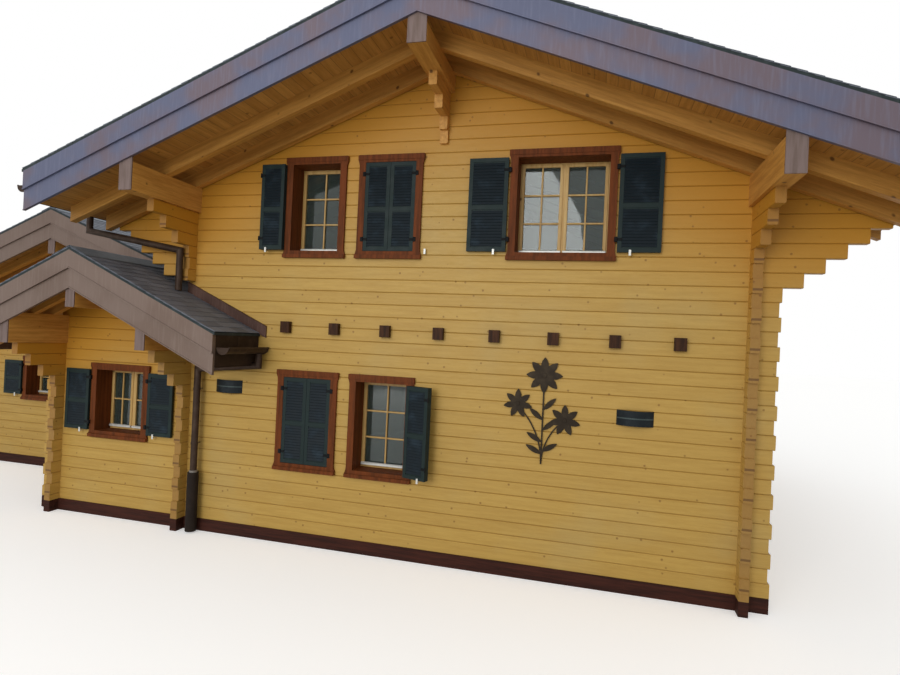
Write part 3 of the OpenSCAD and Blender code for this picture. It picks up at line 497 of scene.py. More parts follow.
# Tongue-and-groove roof boards, planed and varnished: 120 mm wide along the house, each board its own tone,
# with a dark groove between two.
def roof_boards(name):
    mat, tree, shader = new_material(name)
    spot = house_place(tree)
    fine, tone = long_grain(tree, spot, "Y", BOARD_FIBRES)
    colour = laid_over(tree, linear("#d29c50"), "#b07e3a", tone, levels=GRAIN)
    x = add(tree, "SeparateXYZ", {0: spot}, "X")
    board = add(tree, "Math", {0: x, 1: BOARD_W}, operation="DIVIDE")
    colour = laid_over(tree, colour, "#9a6526", own_tone(tree, board), 0.45)
    colour = laid_over(tree, colour, "#5f3716", knot_spots(tree, spot, BEAM_KNOTS), 0.6)
    across = add(tree, "Math", {0: board, 1: 0.5}, operation="PINGPONG")
    groove = add(tree, "MapRange", {"Value": across, "From Min": 0.04, "From Max": 0}, **SMOOTH)
    colour = laid_over(tree, colour, "#7c5427", groove)
    depth = add(tree, "Math", {0: groove, 1: -0.9, 2: fine}, operation="MULTIPLY_ADD")
    bump = add(tree, "Bump", {"Height": depth, "Strength": 0.5, "Distance": 0.003})
    fill(tree, shader, {"Base Color": colour, "Roughness": 0.5, "Specular IOR Level": SATIN, "Normal": bump})
    return mat


# Sheet copper, rolled and years in the rain: even brown-violet oxide, soft clouds and faint runs straight
# down, about 25 mm wide.
def weathered_copper(name, colour, pale, brown, metal):
    mat, tree, shader = new_material(name)
    spot = house_place(tree)
    cloud = add(tree, "TexNoise", {"Vector": spot, "Scale": 1.6, "Detail": 6.0})
    base = laid_over(tree, linear(colour), brown, cloud, levels=(0.4, 0.62))
    tall = add(tree, "Mapping", {"Vector": spot, "Scale": (1, 1, 0.08)})
    runs = add(tree, "TexNoise", {"Vector": tall, "Scale": 40.0, "Detail": 3.0})
    base = laid_over(tree, base, pale, runs, 0.28, (0.45, 0.75))
    film = add(tree, "MapRange", {"Value": cloud, **FILM, "To Min": 0.6, "To Max": 0.46}, **SMOOTH)
    bump = add(tree, "Bump", {"Height": cloud, "Strength": 0.15, "Distance": 0.004})
    fill(tree, shader, {"Base Color": base, "Roughness": film, "Metallic": metal, "Normal": bump})
    return mat


# Copper caps folded over beam ends: brown and nearly bare on the joists at the wall, pinkish grey and
# weathered on the roof beams.
def folded_caps(name):
    mat, tree, shader = new_material(name)
    spot = house_place(tree)
    y = add(tree, "SeparateXYZ", {0: spot}, "Y")
    middle = add(tree, "Math", {0: y, 1: MAIN_DEPTH / 2}, operation="SUBTRACT")
    far = add(tree, "Math", {0: middle}, operation="ABSOLUTE")
    near_wall = add(tree, "Math", {0: far, 1: MAIN_DEPTH / 2 + 0.035, 2: 0.06}, operation="COMPARE")
    tall = add(tree, "Mapping", {"Vector": spot, "Scale": (1, 1, 0.1)})
    runs = add(tree, "TexNoise", {"Vector": tall, "Scale": 30.0, "Detail": 4.0})
    pale = laid_over(tree, linear("#7d6c67"), "#6c5c55", runs, levels=(0.35, 0.7))
    brown = laid_over(tree, linear("#2a180d"), "#472b18", runs, levels=(0.35, 0.7))
    base = add(tree, "Mix", {SHARE: near_wall, BELOW: pale, ABOVE: brown}, MIXED, data_type="RGBA")
    bump = add(tree, "Bump", {"Height": runs, "Strength": 0.12, "Distance": 0.003})
    fill(tree, shader, {"Base Color": base, "Metallic": 0.2, "Roughness": 0.55, "Specular IOR Level": DULL,
                        "Normal": bump})
    return mat


# Natural slate, split: blue-grey, each piece a little lighter or darker, with a rippled face.
def split_slate(name):
    mat, tree, shader = new_material(name)
    chance = add(tree, "NewGeometry", {}, "Random Per Island")
    spot = house_place(tree)
    grit = add(tree, "TexNoise", {"Vector": spot, "Scale": 60.0, "Detail": 5.0, "Roughness": 0.6})
    base = laid_over(tree, linear("#4e535d"), "#6c727d", chance)
    base = laid_over(tree, base, "#7b7f85", grit, 0.4, (0.45, 0.75))
    film = add(tree, "MapRange", {"Value": grit, **FILM, "To Min": 0.55, "To Max": 0.8}, **SMOOTH)
    bump = add(tree, "Bump", {"Height": grit, "Strength": 0.4, "Distance": 0.003})
    fill(tree, shader, {"Base Color": base, "Roughness": film, "Normal": bump})
    return mat


# Shutter paint: satin enamel brushed on, with faint brush lines 3 mm apart and a little chalking.
def brushed_enamel(name, colour, chalk):
    mat, tree, shader = new_material(name)
    spot = house_place(tree)
    cloud = add(tree, "TexNoise", {"Vector": spot, "Scale": 7.0, "Detail": 4.0})
    base = laid_over(tree, linear(colour), chalk, cloud, 0.5, (0.48, 0.8))
    film = add(tree, "MapRange", {"Value": cloud, **FILM, "To Min": 0.45, "To Max": 0.6}, **SMOOTH)
    tall = add(tree, "Mapping", {"Vector": spot, "Scale": (1, 1, 0.04)})
    brush = add(tree, "TexNoise", {"Vector": tall, "Scale": 300.0, "Detail": 3.0})
    bump = add(tree, "Bump", {"Height": brush, "Strength": 0.2, "Distance": 0.0008})
    fill(tree, shader, {"Base Color": base, "Roughness": film, "Specular IOR Level": DULL, "Normal": bump})
    return mat


# Rolled sheet and forged metal, painted or bare: even colour with dust in soft clouds.
def sheet_metal(name, colour, dust, metal, film):
    mat, tree, shader = new_material(name)
    spot = house_place(tree)
    cloud = add(tree, "TexNoise", {"Vector": spot, "Scale": 9.0, "Detail": 5.0, "Roughness": 0.6})
    base = laid_over(tree, linear(colour), dust, cloud, 0.5, (0.42, 0.72))
    bump = add(tree, "Bump", {"Height": cloud, "Strength": 0.1, "Distance": 0.002})
    fill(tree, shader, {"Base Color": base, "Roughness": film, "Metallic": metal, "Specular IOR Level": DULL,
                        "Normal": bump})
    return mat


# Float glass: clear, smooth and a little wavy so that reflections bend, with a green-grey cast in its depth.
def float_glass(name):
    mat, tree, shader = new_material(name)
    wave = add(tree, "TexNoise", {"Vector": house_place(tree), "Scale": 2.5, "Detail": 1.0})
    bump = add(tree, "Bump", {"Height": wave, "Strength": 0.08, "Distance": 0.02})
    fill(tree, shader, {"Base Color": linear("#8fa19a"), "Roughness": 0.02, "IOR": 1.5,
                        "Transmission Weight": 0.9, "Normal": bump})
    return mat


# Floated cement: mid grey with fine pores.
def floated_cement(name):
    mat, tree, shader = new_material(name)
    spot = house_place(tree)
    grit = add(tree, "TexNoise", {"Vector": spot, "Scale": 45.0, "Detail": 6.0, "Roughness": 0.7})
    base = laid_over(tree, linear("#8f8d88"), "#6f6d69", grit, levels=(0.35, 0.7))
    bump = add(tree, "Bump", {"Height": grit, "Strength": 0.3, "Distance": 0.002})
    fill(tree, shader, {"Base Color": base, "Roughness": 0.85, "Normal": bump})
    return mat


# Log walls are given their roof, the height at which its shade begins and whether they are gable walls.
gable_spruce = spruce_logs("varnished_spruce_gable", MAIN, 5.95, True)
side_spruce = spruce_logs("varnished_spruce_side", MAIN, 4.3, False)
bay_spruce = spruce_logs("varnished_spruce_bay", BAY, 3.19, True)
bay_side_spruce = spruce_logs("varnished_spruce_bay_side", BAY, 2.5, False)
wing_spruce = spruce_logs("varnished_spruce_wing", WING, 4.09, True)
wing_side_spruce = spruce_logs("varnished_spruce_wing_side", WING, 2.8, False)
# The beams' colour is lightened past the wood's own: painted light making up for the roof's shade.
beam_spruce = spruce_planed("varnished_spruce_beams", "Y", "#d59f50", "#b57e38", 0.5)
rafter_spruce = spruce_planed("varnished_spruce_rafters", "X", "#cf994b", "#ae7b37", 0.5, MAIN)
bay_rafter_spruce = spruce_planed("varnished_spruce_bay_rafters", "X", "#cf994b", "#ae7b37", 0.5, BAY)
wing_rafter_spruce = spruce_planed("varnished_spruce_wing_rafters", "X", "#cf994b", "#ae7b37", 0.5, WING)
floor_boards = spruce_planed("oiled_spruce_floor", "Y", "#b08c58", "#8d6b3d", 0.6)
sash_spruce = spruce_planed("honey_varnished_sashes", "Z", "#d0ad6e", "#b78f4d", 0.4)
soffit_boards = roof_boards("varnished_roof_boards")
casing_stain = stained_softwood("red_brown_stain", "Z", "#753b17", "#52290c", 0.6)
base_stain = stained_softwood("dark_base_stain", "X", "#45231a", "#2b150f", 0.65)
door_stain = stained_softwood("walnut_door_stain", "Z", "#6d4226", "#472713", 0.45)
# The slats' enamel is set darker than the leaf frames': partly the paint, partly painted shade between the
# slats.
leaf_enamel = brushed_enamel("grey_green_enamel", "#1e2b2a", "#303e3c")
slat_enamel_and_shade = brushed_enamel("dark_blue_enamel_and_shade", "#141e24", "#34434e")
board_copper = weathered_copper("weathered_copper_sheet", "#5d6178", "#767a8f", "#685b64", 0.4)
small_board_copper = weathered_copper("weathered_copper_brown", "#756359", "#87776c", "#6b584d", 0.35)
flashing_copper = weathered_copper("copper_flashing", "#5a3f34", "#7b6257", "#43291f", 0.4)
cap_copper = folded_caps("folded_copper_caps")
slate = split_slate("split_slate")
ridge_sheet = sheet_metal("blue_grey_ridge_sheet", "#656d75", "#7a828a", 0.3, 0.5)
roof_edge = sheet_metal("dark_roof_edge", "#2f3637", "#454e4f", 0.3, 0.6)
eave_brown = sheet_metal("brown_eave_sheet", "#33261e", "#4b3c31", 0.2, 0.6)
gutter_sheet = sheet_metal("weathered_gutter_sheet", "#3a2c23", "#554539", 0.25, 0.5)
cast_iron = sheet_metal("tarred_iron_pipe", "#1f1712", "#30261f", 0.1, 0.65)
dark_steel = sheet_metal("blackened_steel", "#1b2023", "#2f3639", 0.3, 0.5)
band_steel = sheet_metal("brushed_steel_band", "#414b4a", "#535e5d", 0.4, 0.45)
forged_bronze = sheet_metal("dark_forged_bronze", "#2b231a", "#443a2c", 0.4, 0.5)
hinge_paint = sheet_metal("black_painted_hinges", "#0c0d0e", "#1c1d1e", 0.0, 0.7)
zinc_fittings = sheet_metal("zinc_plated_fittings", "#dcdcd6", "#b9b9b2", 0.3, 0.4)
collar_sheet = sheet_metal("dull_zinc_sheet", "#8d8780", "#6d665f", 0.4, 0.5)
glass = float_glass("float_glass")
cement = floated_cement("floated_cement")

CAD_FINISH = [
    (base_stain, ["plinth"]),
    (cement, ["ground_floor"]),
    (floor_boards, ["upper_floor"]),
    (gable_spruce, ["gable_wall_front", "gable_wall_rear"]),
    (side_spruce, ["side_wall_left", "side_wall_right"]),
    (bay_spruce, ["bay_wall_front"]),
    (bay_side_spruce, ["bay_wall_left"]),
    (wing_spruce, ["wing_wall_front", "wing_wall_rear"]),
    (wing_side_spruce, ["wing_wall_left"]),
    (beam_spruce, ["floor_joists", "ridge_beam", "wall_purlins", "ridge_corbels", "bay_beams", "wing_beams"]),
    (rafter_spruce, ["rafters"]),
    (bay_rafter_spruce, ["bay_rafters"]),
    (wing_rafter_spruce, ["wing_rafters"]),
    (soffit_boards, ["roof_deck_left", "roof_deck_right", "bay_roof_deck", "wing_roof_deck"]),
    (roof_edge, ["roof_cover", "bay_roof_cover", "wing_roof_cover"]),
    (board_copper, ["bargeboards_upper", "bargeboards_lower"]),
    (small_board_copper, ["bay_bargeboards", "wing_bargeboards"]),
    (flashing_copper, ["bay_flashing"]),
    (cap_copper, ["beam_caps"]),
    (gutter_sheet, ["gutters", "downpipes"]),
    (casing_stain, ["window_casings"]),
    (sash_spruce, ["window_frames"]),
    (glass, ["window_glass"]),
    (door_stain, ["back_door"]),
    (leaf_enamel, ["shutters_front", "shutters_side", "shutters_rear"]),
    (dark_steel, ["wall_lights"]),
    (forged_bronze, ["wall_ornament"]),
]


def finish_cad():
    for finish, names in CAD_FINISH:
        for name in names:
            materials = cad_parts[name].data.materials
            materials.clear()
            materials.append(finish)


# Windows

# A casement's lap over the fixed frame, width of its members, and how far it and its bars reach out and in.
# The rain rail reaches out from it, and up and down from the opening's foot.
SASH_LAP = 0.036
SASH_STILE = 0.04
SASH_OUT = 0.012
SASH_IN = 0.018
BAR_W = 0.021
BAR_OUT = 0.004
BAR_IN = 0.019
RAIL_OUT = 0.024
RAIL_UP = 0.02
RAIL_DOWN = 0.016
RAIL_FALL = 0.012


def open_frame(low, high, width):
    """A rectangular frame: a board inset on both faces, the middle bridged through."""
    obj = block(low, high)
    pick(obj, "FACE", lambda face: abs(face.normal.y) > FACING)
    bpy.ops.mesh.inset(thickness=width, depth=0, use_individual=True)
    bpy.ops.mesh.bridge_edge_loops()
    leave_edit()
    return ease(obj, ROUND)


def sash_spans(width):
    """The free spaces between a window's fixed frame members, about its middle."""
    half = width / 2
    if width > DOUBLE:
        return [(-half + FRAME_W, -MULLION / 2), (MULLION / 2, half - FRAME_W)]
    return [(-half + FRAME_W, half - FRAME_W)]


def casement(x0, x1, z0, z1, bars):
    """A casement that laps over the fixed frame, with its glazing bars in front of the glass."""
    low = (x0 - SASH_LAP, FRAME_Y - SASH_OUT, z0 - SASH_LAP)
    high = (x1 + SASH_LAP, FRAME_Y + SASH_IN, z1 + SASH_LAP)
    pieces = [open_frame(low, high, SASH_STILE)]
    edge = SASH_STILE - SASH_LAP
    mid = (x0 + x1) / 2
    near = FRAME_Y - BAR_OUT
    far = FRAME_Y + BAR_IN
    half = BAR_W / 2
    pieces.append(ease(block((mid - half, near, z0 + edge), (mid + half, far, z1 - edge)), ROUND))
    for i in range(bars):
        z = z0 + (z1 - z0) * (i + 1) / (bars + 1)
        pieces.append(ease(block((x0 + edge, near + SHY, z - half), (x1 - edge, far, z + half)), ROUND))
    return pieces


def rain_rail(x0, x1, z0):
    """An aluminium rail that throws water off the lower rail of a casement."""
    back = FRAME_Y - SASH_OUT
    front = back - RAIL_OUT
    top = z0 + RAIL_UP
    rail = block((x0 - SASH_LAP, front, z0 - RAIL_DOWN), (x1 + SASH_LAP, back, top))
    pick(rail, "VERT", lambda vertex: vertex.co.y < front + SHY and vertex.co.z > top - SHY)
    bpy.ops.transform.translate(value=(0, 0, -RAIL_FALL))
    leave_edit()
    return ease(rail, FINE)


def windows():
    sashes = []
    rails = []
    for wall, opening in WINDOWS:
        place = place_on(wall, opening.x)
        low = opening.sill + FRAME_W
        high = opening.sill + opening.height - FRAME_W
        bars = 2 if opening.height > TALL else 1
        for x0, x1 in sash_spans(opening.width):
            sashes += put(casement(x0, x1, low, high, bars), place)
            rails += put([rain_rail(x0, x1, low)], place)
    settle(sashes, "casements", sash_spruce)
    settle(rails, "rain_rails", zinc_fittings)


# Casing ears: width, height, radius of the hollow curve, flat at its tip and gap to the wall. Then height
# and depth of the ends of heads and sills, and where the curves start from the opening's top and foot.
EAR_W = 0.019
EAR_H = 0.09
EAR_R = 0.2
EAR_TIP = 0.018
EAR_BACK = 0.002
HEAD_END = (0.061, 0.042)
SILL_END = (0.046, 0.054)
HEAD_Z = 0.0325
SILL_Z = -0.0475


def casing_ear(side, up):
    """The end of a casing's head or sill, with the hollow curve that leads down or up to the side board."""
    x0, x1 = sorted((0, side * EAR_W))
    z0, z1 = sorted((0, -up * EAR_H + up * EAR_TIP))
    ear = block((x0, -CASING_T + SHY, z0), (x1, -EAR_BACK, z1))
    hollow = drum(EAR_R, 2 * CASING_T, (side * EAR_R, -CASING_T / 2, -up * EAR_H), "Y", 96)
    apply_modifier(ear, "BOOLEAN", operation="DIFFERENCE", object=hollow, solver="EXACT")
    bpy.data.objects.remove(hollow)
    tall, deep = HEAD_END if up > 0 else SILL_END
    z0, z1 = sorted((0, up * tall))
    return join([ear, ease(block((x0, -deep, z0), (x1, -SHY, z1)), FINE)])


def casing_ears():
    masters = {(side, up): casing_ear(side, up) for side in (-1, 1) for up in (-1, 1)}
    twins = []
    for wall, opening in WINDOWS:
        place = place_on(wall, opening.x)
        for (side, up), master in masters.items():
            z = opening.sill + opening.height + HEAD_Z if up > 0 else opening.sill + SILL_Z
            spot = Vector((side * (opening.width / 2 + CASING_W), 0, z))
            twins.append(copy_of(master, place @ Matrix.Translation(spot)))
    for master in masters.values():
        bpy.data.objects.remove(master)
    settle(twins, "casing_ears", casing_stain)


# Shutters: each leaf as its width and height, its place, the x of its hinges in its own frame, whether a
# catch holds it open and whether it hangs on the casing.
Leaf = namedtuple("Leaf", "width height place hinge caught cased")


def leaf_pair(wall, opening, width, start, out, caught):
    """Two leaves, each that far from the window's middle, shut or caught on the wall."""
    place = place_on(wall, opening.x)
    leaves = []
    for x, hinge in ((-start - width, width if caught else 0.0), (start, 0.0 if caught else width)):
        spot = place @ Matrix.Translation((x, -out, opening.sill + LEAF_GAP))
        leaves.append(Leaf(width, opening.height - 2 * LEAF_GAP, spot, hinge, caught, True))
    return leaves


def shut_leaves(wall, opening):
    width = opening.width / 2 - LEAF_GAP
    return leaf_pair(wall, opening, width, LEAF_GAP / 2, LEAF_T - LEAF_GAP, False)


def open_leaves(wall, opening):
    edge = opening.width / 2 + CASING_W + HINGE_GAP
    return leaf_pair(wall, opening, opening.leaf, edge, WALL_GAP + LEAF_T, True)


def folded_leaf(opening, side, gap, out, angle):
    """The outer of two leaves folded on each other, on the front wall. It hangs on the other's far edge."""
    width = opening.width / 2 - LEAF_GAP
    hinge = Matrix.Translation(
        (opening.x + side * (opening.width / 2 + CASING_W + gap), -out, opening.sill + LEAF_GAP))
    swing = Matrix.Rotation(-side * math.radians(angle), 4, "Z")
    shift = Matrix.Translation((0.0 if side > 0 else -width, -2 * LEAF_T - LEAF_GAP, 0))
    place = hinge @ swing @ shift
    return Leaf(width, opening.height - 2 * LEAF_GAP, place, width if side > 0 else 0.0, True, False)


FRONT_LEAVES = [
    folded_leaf(UPPER_LEFT, -1, gap=0.002, out=WALL_GAP, angle=0.0),
    folded_leaf(LOWER_MID, 1, gap=-0.028, out=0.052, angle=20.0),
    *shut_leaves(FRONT, UPPER_MID),
    *shut_leaves(FRONT, LOWER_LEFT),
    *open_leaves(FRONT, UPPER_WIDE),
]
SMALL_LEAVES = [leaf for window in SMALL_WINDOWS for leaf in open_leaves(*window)]
REAR_LEAVES = [leaf for window in REAR_WINDOWS for leaf in open_leaves(*window)]

# Leaves: width of their frame, share of the height at which the middle rail lies, and their slats.
LEAF_STILE = 0.048
MID_RAIL = 0.47
SLAT_PITCH = 0.036
SLAT_SPARE = 0.01
SLAT_H = 0.035
SLAT_BACK = 0.0095
SLAT_PIVOT = 0.006
SLAT_TILT = math.radians(-14)
SLAT_EASE = 0.0025


def slat_fields(width, height):
    """Louvre slats in the two sunk fields of a leaf whose shown face is y = 0."""
    mid = height * MID_RAIL
    half = SLAT_H / 2
    pieces = []
    for low, high in ((LEAF_STILE, mid - LEAF_STILE / 2), (mid + LEAF_STILE / 2, height - LEAF_STILE)):
        count = int((high - low - SLAT_SPARE) / SLAT_PITCH)
        first = low + (high - low - (count - 1) * SLAT_PITCH) / 2
        slat = block((LEAF_STILE, SHY, first - half), (width - LEAF_STILE, SLAT_BACK, first + half))
        slat = turn(slat, SLAT_TILT, "X", (0, SLAT_PIVOT, first))
        pieces.append(repeat(ease(slat, SLAT_EASE), count, (0, 0, SLAT_PITCH)))
    return join(pieces)


def shutter_slats():
    masters = {}
    groups = {"slats_front": FRONT_LEAVES, "slats_side": SMALL_LEAVES, "slats_rear": REAR_LEAVES}
    for name, leaves in groups.items():
        twins = []
        for leaf in leaves:
            key = (round(leaf.width, 3), round(leaf.height, 3))
            if key not in masters:
                masters[key] = slat_fields(leaf.width, leaf.height)
            twins.append(copy_of(masters[key], leaf.place))
        settle(twins, name, slat_enamel_and_shade)
    for master in masters.values():
        bpy.data.objects.remove(master)


# Hinges: length and half height of the strap, pin, plate, and where they stand along the leaf's height.
STRAP_L = 0.055
STRAP_HALF = 0.016
STRAP_OUT = 0.005
PIN_R = 0.009
PIN_H = 0.06
PIN_OFF = 0.008
PIN_OUT = 0.004
PLATE_L = 0.036
PLATE_HALF = 0.028
PLATE_OUT = 0.012
PLATE_BACK = 0.0235
HINGE_HEIGHTS = (0.13, 0.87)
# Catches: radius, length and middle of the stem, corners of the tongue, share of a leaf's width from the
# hinges at which one stands, and the place of the spare one on the wall.
STEM = (0.006, 0.05, (0, 0.01, -0.02))
TONGUE = ((-0.014, -0.014, -0.04), (0.014, -0.006, 0.028))
CATCH_AT = 0.3
SPARE_CATCH = (-0.187, -0.022, 3.728)


def hinge_at(x, z, inward, cased):
    """A strap rolled round an upright pin at the leaf's edge, and the casing's plate that holds the pin."""
    x0, x1 = sorted((x, x + inward * STRAP_L))
    strap = ease(block((x0, -STRAP_OUT, z - STRAP_HALF), (x1, SHY, z + STRAP_HALF)), FINE)
    pin = ease(drum(PIN_R, PIN_H, (x - inward * PIN_OFF, -PIN_OUT, z), "Z", 12), SOFT)
    if not cased:
        return [strap, pin]
    x0, x1 = sorted((x, x - inward * PLATE_L))
    plate = ease(block((x0, -PLATE_OUT, z - PLATE_HALF), (x1, PLATE_BACK, z + PLATE_HALF)), SOFT)
    return [strap, pin, plate]


def wall_catch():
    """A small tongue that turns up in front of a leaf's lower edge."""
    return join([ease(drum(*STEM, "Y", 10), HAIR), ease(block(*TONGUE), SOFT)])


def shutter_hardware():
    hinges = []
    places = []
    for leaf in FRONT_LEAVES + SMALL_LEAVES + REAR_LEAVES:
        inward = 1 if leaf.hinge < leaf.width / 2 else -1
        for share in HINGE_HEIGHTS:
            hinges += put(hinge_at(leaf.hinge, leaf.height * share, inward, leaf.cased), leaf.place)
        if leaf.caught:
            x = leaf.hinge + inward * leaf.width * CATCH_AT
            places.append(leaf.place @ Matrix.Translation((x, 0, 0)))
    places.append(Matrix.Translation(SPARE_CATCH))
    settle(hinges, "shutter_hinges", hinge_paint)
    settle(spread(wall_catch(), places), "shutter_catches", zinc_fittings)


# Roofs

# Slates: width, joint at each side, height shown, thickness, length in shown heights, tilt, worn lower edge
# and how far they reach past an eave.
SLATE_W = 0.25
SLATE_JOINT = 0.002
SLATE_SHOW = 0.145
SLATE_T = 0.008
SLATE_LAP = 1.6
SLATE_TILT = math.radians(2.4)
SLATE_WORN = 0.003
EDGE = 0.02
# Where the bay's slates begin between the wing's boards and its wall, from the ridge.
BAY_KEPT = 0.68
# Ridge caps: half widths, height over the slates and of the turned edges' feet, sheet, gap to the wing.
RIDGE_HALF = 0.2
BAY_RIDGE_HALF = 0.27
CAP_UP = 0.024
CAP_FOOT = 0.002
CAP_T = 0.003
CAP_GAP = 0.01


def slate_rows(run, length):
    """Two rows of slates in half bond, repeated up the slope: x up the slope from the eave, y along it."""
    across = int(length / SLATE_W) + 2
    pairs = int(run / (2 * SLATE_SHOW)) + 2
    rows = []
    for row in (0, 1):
        x0 = row * SLATE_SHOW
        x1 = x0 + SLATE_SHOW * SLATE_LAP
        y = -row * SLATE_W / 2
        one = block((x0, y + SLATE_JOINT, 0.0), (x1, y + SLATE_W - SLATE_JOINT, SLATE_T))
        one = turn(one, SLATE_TILT, "Y", (x1, 0, 0))
        pick(one, "FACE", lambda face: face.normal.x < -FACING)
        bpy.ops.mesh.bevel(offset=SLATE_WORN, segments=1, affect="EDGES")
        leave_edit()
        rows.append(repeat(one, across, (0, SLATE_W, 0)))
    return repeat(join(rows), pairs, (2 * SLATE_SHOW, 0, 0))


def slate_field(roof, side, run0, run1, y0, y1):
    """Slates on one side of a ridge, from the eave at run1 up to run0, trimmed on all edges."""
    angle = math.atan(roof.slope)
    reach = (run1 - run0) / math.cos(angle)
    field = slate_rows(reach, y1 - y0)
    cut_off(field, (0, SHY, 0), (0, -1, 0))
    cut_off(field, (0, y1 - y0 - SHY, 0), (0, 1, 0))
    cut_off(field, (reach, 0, 0), (1, 0, 0))
    eave = Vector((roof.mid + side * run1, y0 if side < 0 else y1, roof.top - roof.slope * run1))
    facing = Matrix.Rotation(0.0 if side < 0 else math.pi, 4, "Z")
    field.matrix_world = Matrix.Translation(eave) @ facing @ Matrix.Rotation(-angle, 4, "Y")
    return field


def ridge_cap(roof, half, y0, y1):
    """A folded capping over a ridge: two wings on battens with their edges turned down."""
    low = roof.top - half * roof.slope
    left = roof.mid - half
    right = roof.mid + half
    points = [(left, low + CAP_FOOT), (left, low + CAP_UP), (roof.mid, roof.top + CAP_UP),
              (right, low + CAP_UP), (right, low + CAP_FOOT)]
    return folded_sheet(points, y0, y1, CAP_T)


def roofs():
    main_y = (MAIN.front - BOARDS, MAIN.rear + BOARDS)
    wing_y = (WING.front - BOARDS, WING.rear + BOARDS)
    front = BAY.front - BOARDS
    main = [slate_field(MAIN, side, 0.0, MAIN.eave + EDGE, *main_y) for side in (-1, 1)]
    settle(main, "main_slates", slate)
    wing = [
        slate_field(WING, -1, 0.0, WING.eave + EDGE, *wing_y),
        slate_field(WING, 1, 0.0, WING_JOIN, *wing_y),
    ]
    settle(wing, "wing_slates", slate)
    bay = [
        slate_field(BAY, -1, 0.0, BAY.eave + EDGE, front, BAY.rear),
        slate_field(BAY, -1, BAY_KEPT, BAY.eave + EDGE, BAY.rear, WING_FRONT),
        slate_field(BAY, 1, 0.0, BAY.eave + EDGE, front, 0.0),
        slate_field(BAY, 1, 0.0, BAY_JOIN, 0.0, BAY.rear),
    ]
    settle(bay, "bay_slates", slate)
    caps = [
        ridge_cap(MAIN, RIDGE_HALF, *main_y),
        ridge_cap(WING, RIDGE_HALF, *wing_y),
        ridge_cap(BAY, BAY_RIDGE_HALF, front, BAY.rear - CAP_GAP),
    ]
    settle(caps, "ridge_caps", ridge_sheet)


# Eave sheets: distances of sheet and drip fold from the boarding, heights of the fold, and thickness.
SHEET_OFF = 0.003
FOLD_OFF = 0.009
FOLD_HIGH, FOLD_MID, FOLD_LOW = 0.012, 0.004, -0.006
SHEET_T = 0.002


def eave_sheet(roof, side, y0, y1):
    """Brown sheet over the side of the boarding at an eave, with a drip fold at its foot."""
    near = roof.mid + side * (roof.eave + SHEET_OFF)
    out = roof.mid + side * (roof.eave + FOLD_OFF)
    high = roof.top - COVER_T - roof.slope * roof.eave
    foot = high - roof.edge
    points = [(near, high), (near, foot + FOLD_HIGH), (out, foot + FOLD_MID), (out, foot + FOLD_LOW)]
    return folded_sheet(points, y0, y1, SHEET_T)


DRIP_H = 0.014
DRIP_OUT = 0.007


def board_drips(roof, run_right, rear=True):
    """Drip folds along the lower edges of both boards, at the front gable or at both."""
    drips = []
    mid_z = roof.top - COVER_T - BOARD_UP
    for side, run in ((-1, roof.eave), (1, run_right)):
        for z, face in ((mid_z, BOARDS), (mid_z - BOARD_LOW, BOARD_T)):
            near = roof.front - face
            drips.append(slope_bar(roof, side, run, z + DRIP_H, near - DRIP_OUT, near, DRIP_H))
            if rear:
                far = roof.rear + face
                drips.append(slope_bar(roof, side, run, z + DRIP_H, far, far + DRIP_OUT, DRIP_H))
    return drips


def roof_edges():
    settle([eave_sheet(*eave) for eave in EAVES], "eave_sheets", eave_brown)
    settle(board_drips(MAIN, MAIN.eave), "main_drips", board_copper)
    small = board_drips(BAY, BAY.eave, rear=False) + board_drips(WING, WING_JOIN)
    settle(small, "small_drips", small_board_copper)


BEAD_UP = 0.158
BEAD_PAST = 0.12
BEAD_H = 0.014
BEAD_Y = (-0.034, -0.002)


def flashing_bead():
    """The rolled upper edge of the strip on the wall above the bay's roof."""
    bead = slope_bar(BAY, 1, BAY.eave + BEAD_PAST, BAY.top + BEAD_UP, *BEAD_Y, BEAD_H)
    cut_off(bead, (-MAIN_HALF, 0, 0), (-1, 0, 0))
    settle([ease(bead, ROUND)], "flashing_bead", flashing_copper)


# Rainwater fittings

# Gutters end short of the roof. Stops stand past their ends and rim, and brackets hold them.
GUTTER_END = 0.02
BEAD_R = 0.011
STOP_T = 0.006
STOP_RIM = 0.006
STOP_PAST = 0.002
BRACKET_GAP = 0.8
BRACKET_W = 0.028
BRACKET_T = 0.004
TAIL_H = 0.13


def gutter_places():
    """Middle, side of the ridge, height and ends of each gutter. The bay's left one ends at the wing."""
    places = []
    for roof, side, y0, y1 in EAVES:
        x = roof.mid + side * (roof.eave + GUTTER_OFF)
        z = roof.top - roof.slope * roof.eave - GUTTER_DROP
        rear = y1 if (roof, side) == (BAY, -1) else y1 - GUTTER_END
        places.append((x, side, z, y0 + GUTTER_END, rear))
    return places


GUTTERS = gutter_places()


def gutter_edges():
    """The rolled bead along each gutter's outer lip, and the stops with a turned rim that close its ends."""
    parts = []
    for x, side, z, y0, y1 in GUTTERS:
        lip = x + side * (GUTTER_R + BEAD_R / 2)
        parts.append(ease(drum(BEAD_R, y1 - y0, (lip, (y0 + y1) / 2, z), "Y", 12), FINE))
        for y in (y0 - STOP_PAST, y1 + STOP_PAST):
            stop = drum(GUTTER_R + STOP_RIM, STOP_T, (x, y, z), "Y", 28)
            cut_off(stop, (0, 0, z + STOP_PAST), (0, 0, 1))
            parts.append(ease(stop, HAIR))
    settle(parts, "gutter_edges", gutter_sheet)


